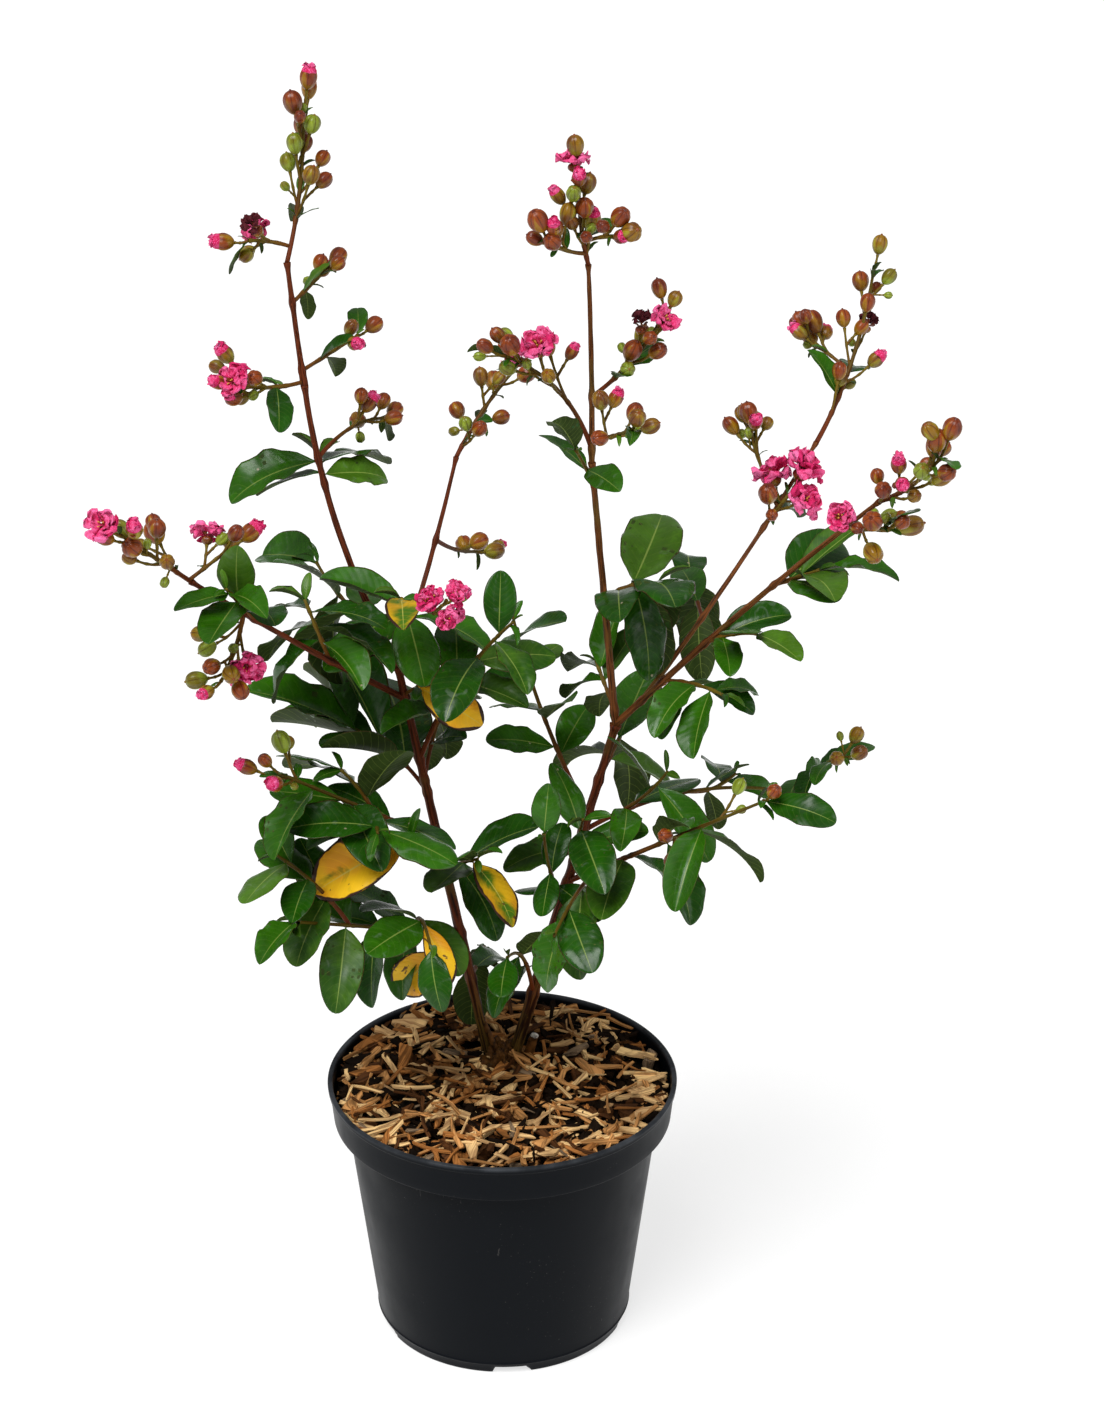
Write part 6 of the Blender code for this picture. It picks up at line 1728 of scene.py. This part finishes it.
class PLANT_OT_leaves(bpy.types.Operator):
    """Set a curved blade in the place of every green leaf"""

    bl_idname = "plant.leaves"
    bl_label = "Leaves"

    def execute(self, context):
        settings = context.scene.plant_leaves
        rows = [row for row in all_leaves() if not turns(*row[:2])]
        rng = np.random.default_rng(21)
        skins = Skins()
        for young in (False, True):
            chosen = [(shoot, leaf) for shoot, _, leaf, small in rows if small == young]
            tone = rng.random(len(chosen))
            height = np.array([leaf.root[2] for _, leaf in chosen])
            tone = tone + 0.3 * (height - 0.5) + (0.45 if young else 0.0)
            top = np.digitize(tone, (0.36, 0.78, 0.94))
            stations, columns = (9, 8) if young else (19, 16)
            finish = np.stack([top, np.full(len(top), 4)], 1).repeat(columns // 2, 1)
            blades = [leaf for _, leaf in chosen]
            skin = leaf_rings(blades, settings.thickness, 31 + young, stations, columns)
            skins.add(*skin, finish=finish)
        middle, fresh, vein = settings.middle, settings.fresh, settings.vein
        finishes = [
            leaf_finish("leaf_deep", settings.deep, tinted(settings.deep, 1.7), vein, 0.23),
            leaf_finish("leaf_middle", middle, tinted(middle, 1.5), vein, 0.26),
            leaf_finish("leaf_dull", tinted(middle, 0.8), fresh, tinted(vein, 1.1), 0.38),
            leaf_finish("leaf_fresh", fresh, tinted(fresh, 1.35), tinted(vein, 1.2), 0.33),
            underside_finish("leaf_back", settings.underside, tinted(vein, 0.9)),
        ]
        skins.made("leaves", "leaf", nodes_in("leaf"), finishes)
        return {"FINISHED"}


class PLANT_OT_turning_leaves(bpy.types.Operator):
    """Set the few yellow leaves"""

    bl_idname = "plant.turning_leaves"
    bl_label = "Yellow leaves"

    def execute(self, context):
        settings = context.scene.plant_leaves
        chosen = [row for row in all_leaves() if turns(*row[:2])]
        top = np.array([TINTS.index(turns(*row[:2])) for row in chosen])
        finish = np.stack([top, np.full(len(top), len(TINTS))], 1).repeat(8, 1)
        posed = [poised(shoot, leaf) for shoot, _, leaf, _ in chosen]
        skins = Skins()
        skins.add(*leaf_rings(posed, settings.thickness, 41), finish=finish)
        gold, fresh = settings.gold, settings.fresh
        finishes = [
            turning_finish("leaf_gold", gold, fresh, 0.03, 0.55),
            turning_finish("leaf_rust", settings.rust, gold, 0.04, 0.50),
            turning_finish("leaf_half_gold", tinted(gold, 0.7), tinted(fresh, 1.2), 0.25, 0.60),
            underside_finish("leaf_gold_back", tinted(gold, 0.55), gold),
        ]
        skins.made("turning_leaves", "yellow_leaf", nodes_in("yellow_leaf"), finishes)
        return {"FINISHED"}


class PLANT_OT_buds(bpy.types.Operator):
    """Set the ribbed buds on their stalks"""

    bl_idname = "plant.buds"
    bl_label = "Buds"

    def execute(self, context):
        settings = context.scene.plant_blooms
        rng = np.random.default_rng(51)
        skins = Skins()
        large, small = all_buds("bud"), all_buds("green")
        tones = np.digitize(rng.random(len(large)), (0.55, 0.88))
        skins.add(*bud_rings(large, *bud_sizes(large, BUD_SEED)), finish=tones)
        skins.add(*bud_rings(small, *bud_sizes(small, 53), 9, 12), finish=2)
        cheek, olive, green, seam = settings.bud, settings.olive, settings.green, settings.seam
        finishes = [
            bud_finish("bud_red", olive, cheek, seam, seam),
            bud_finish("bud_olive", blended(olive, green, 0.5), olive, cheek, seam),
            bud_finish("bud_green", green, tinted(green, 0.9), olive, tinted(olive, 0.5)),
        ]
        skins.made("buds", "blossom", nodes_in("blossom"), finishes)
        return {"FINISHED"}


class PLANT_OT_flowers(bpy.types.Operator):
    """Unfold the crinkled petals of the open flowers, and the furled ones of bursting buds"""

    bl_idname = "plant.flowers"
    bl_label = "Flowers"

    def execute(self, context):
        settings = context.scene.plant_blooms
        flowers = open_flowers()
        rng = np.random.default_rng(61)
        skins = Skins()
        for *form, seed in PETAL_ROUNDS:
            petals = petals_of(flowers, *form, seed, 0.62)
            tones = np.digitize(rng.random(len(petals[0])), (0.6, 0.85))
            skins.add(*petal_rings(*petals, 0.105, seed + 10, 9, 46), finish=tones)
        tips = bursting_tips()
        skins.add(*bud_rings(tips, stacked(tips, "radius")[0], np.full(len(tips), 1.05), 9, 24), finish=3)
        petals = petals_of(tips, 5, (4, 30), 0.95, 1.15, 64, 1.35)
        tones = np.digitize(rng.random(len(petals[0])), (0.5, 0.75))
        skins.add(*petal_rings(*petals, 0.15, 74, 6, 16), finish=tones)
        pink, deep, pale = settings.petal, settings.deep, settings.pale
        finishes = [
            petal_finish("petal", pink, deep, pale),
            petal_finish("petal_pale", tinted(pale, 0.9), pink, tinted(pale, 1.15)),
            petal_finish("petal_deep", tinted(pink, 0.7), deep, pink),
            petal_finish("petal_furled", blended(pink, deep, 0.35), deep, pale),
        ]
        skins.made("petals", "blossom", nodes_in("blossom"), finishes)
        return {"FINISHED"}


class PLANT_OT_flower_parts(bpy.types.Operator):
    """Add the calyx and the stamens of each open flower, and the crumpled faded flowers"""

    bl_idname = "plant.flower_parts"
    bl_label = "Calyxes, stamens and faded flowers"

    def execute(self, context):
        settings = context.scene.plant_blooms
        flowers, faded = open_flowers(), all_buds("faded")
        cups = [bud._replace(radius=min(0.0054, 0.5 * bud.radius)) for bud in flowers + faded]
        skins = Skins()
        radius, tall = bud_sizes(cups, 80)
        skins.add(*bud_rings(cups, radius, 0.6 * tall), finish=0)
        sepals = petals_of(cups, 6, (30, 60), 1.1, 0.62, 81, 1.2)
        skins.add(*petal_rings(*sepals, 0.02, 82, 6, 12), finish=0)
        lobes = petals_of(bursting_tips(), 6, (14, 30), 1.2, 0.85, 86, 0.15)
        skins.add(*petal_rings(*lobes, 0.03, 87, 6, 12), finish=0)
        skins.add(stamen_rings(flowers, 3, 83), finish=1)
        crumpled = petals_of(faded, 7, (6, 55), 0.85, 0.6, 84, 0.9)
        skins.add(*petal_rings(*crumpled, 0.22, 85, 8, 20), finish=2)
        spent = settings.faded
        finishes = [
            bud_finish("calyx", settings.olive, settings.bud, settings.seam, settings.seam),
            stamen_finish("stamen", settings.petal, settings.stamen),
            petal_finish("petal_faded", spent, tinted(spent, 0.5), tinted(spent, 2.2)),
        ]
        skins.made("flower_parts", "blossom", nodes_in("blossom"), finishes)
        return {"FINISHED"}


class PLANT_OT_studio(bpy.types.Operator):
    """Lay a pale floor that glows a little, light it softly and place the camera"""

    bl_idname = "plant.studio"
    bl_label = "Studio"

    def execute(self, context):
        settings = context.scene.plant_studio
        scene = context.scene
        mesh = bpy.data.meshes.new("floor")
        corners = [(FLOOR_REACH * x, FLOOR_REACH * y, 0.0) for x, y in ((-1, -1), (1, -1), (1, 1), (-1, 1))]
        mesh.from_pydata(corners, [], [(0, 1, 2, 3)])
        floor = bpy.data.objects.new("floor", mesh)
        glow = {"emission_color": (1.0, 1.0, 1.0, 1.0), "emission_strength": FLOOR_GLOW}
        finish = Finish("floor", settings.floor, 0.9, **glow)
        shade = finish.mix(finish.spots(3.0, 3.0, 0.3, 0.7), tinted(settings.floor, 0.985), settings.floor)
        mesh.materials.append(finish.done(shade))
        scene.collection.objects.link(floor)
        world = bpy.data.worlds.new("studio")
        world.use_nodes = True
        sky = world.node_tree.nodes["Background"]
        sky.inputs["Color"].default_value = (1.0, 1.0, 1.0, 1.0)
        seen = world.node_tree.nodes.new("ShaderNodeLightPath").outputs["Is Camera Ray"]
        strength = world.node_tree.nodes.new("ShaderNodeMapRange")
        strength.inputs["To Min"].default_value = settings.sky
        world.node_tree.links.new(seen, strength.inputs["Value"])
        world.node_tree.links.new(strength.outputs[0], sky.inputs["Strength"])
        scene.world = world
        scene.view_settings.view_transform = "Standard"
        sun = bpy.data.lights.new("key", "SUN")
        sun.energy = settings.sun
        sun.angle = math.radians(SUN_WIDTH)
        fill = bpy.data.lights.new("fill", "AREA")
        fill.shape = "DISK"
        fill.size = FILL_SIZE
        fill.energy = settings.fill
        for lamp, place in ((sun, SUN_PLACE), (fill, FILL_PLACE)):
            light = bpy.data.objects.new(lamp.name, lamp)
            light.location = place
            light.rotation_euler = (Vector(AIM_PLACE) - Vector(place)).to_track_quat("-Z", "Y").to_euler()
            scene.collection.objects.link(light)
        view = bpy.data.cameras.new("camera")
        view.lens = CAMERA_LENS
        view.sensor_width = SENSOR
        view.clip_start, view.clip_end = 0.05, 60.0
        camera = bpy.data.objects.new("camera", view)
        camera.location = CAMERA_PLACE
        camera.rotation_euler = (math.radians(90.0 - CAMERA_PITCH), 0.0, 0.0)
        scene.collection.objects.link(camera)
        scene.camera = camera
        return {"FINISHED"}


PIECES = (
    PLANT_OT_pot, PLANT_OT_soil, PLANT_OT_chips, PLANT_OT_wood, PLANT_OT_shoots, PLANT_OT_leaves,
    PLANT_OT_turning_leaves, PLANT_OT_buds, PLANT_OT_flowers, PLANT_OT_flower_parts, PLANT_OT_studio,
)

SETTINGS = {
    "plant_pot": PotSettings,
    "plant_chips": ChipSettings,
    "plant_wood": WoodSettings,
    "plant_leaves": LeafSettings,
    "plant_blooms": BloomSettings,
    "plant_studio": StudioSettings,
}


class PLANT_PT_panel(bpy.types.Panel):
    """The pieces of the plant, with the sizes and colours that may be changed"""

    bl_idname = "PLANT_PT_panel"
    bl_label = "Potted crape myrtle"
    bl_space_type = "VIEW_3D"
    bl_region_type = "UI"
    bl_category = "Plant"

    def draw(self, context):
        for piece in PIECES:
            self.layout.operator(piece.bl_idname)
        for key in SETTINGS:
            box = self.layout.box()
            settings = getattr(context.scene, key)
            for name in SETTINGS[key].__annotations__:
                box.prop(settings, name)


def register():
    for key, group in SETTINGS.items():
        bpy.utils.register_class(group)
        setattr(bpy.types.Scene, key, PointerProperty(type=group))
    for made in (*PIECES, PLANT_PT_panel):
        bpy.utils.register_class(made)


def unregister():
    for made in (PLANT_PT_panel, *reversed(PIECES)):
        bpy.utils.unregister_class(made)
    for key, group in reversed(SETTINGS.items()):
        delattr(bpy.types.Scene, key)
        bpy.utils.unregister_class(group)


def main():
    register()
    for piece in PIECES:
        getattr(bpy.ops.plant, piece.bl_idname.split(".")[1])()


if __name__ == "__main__":
    main()
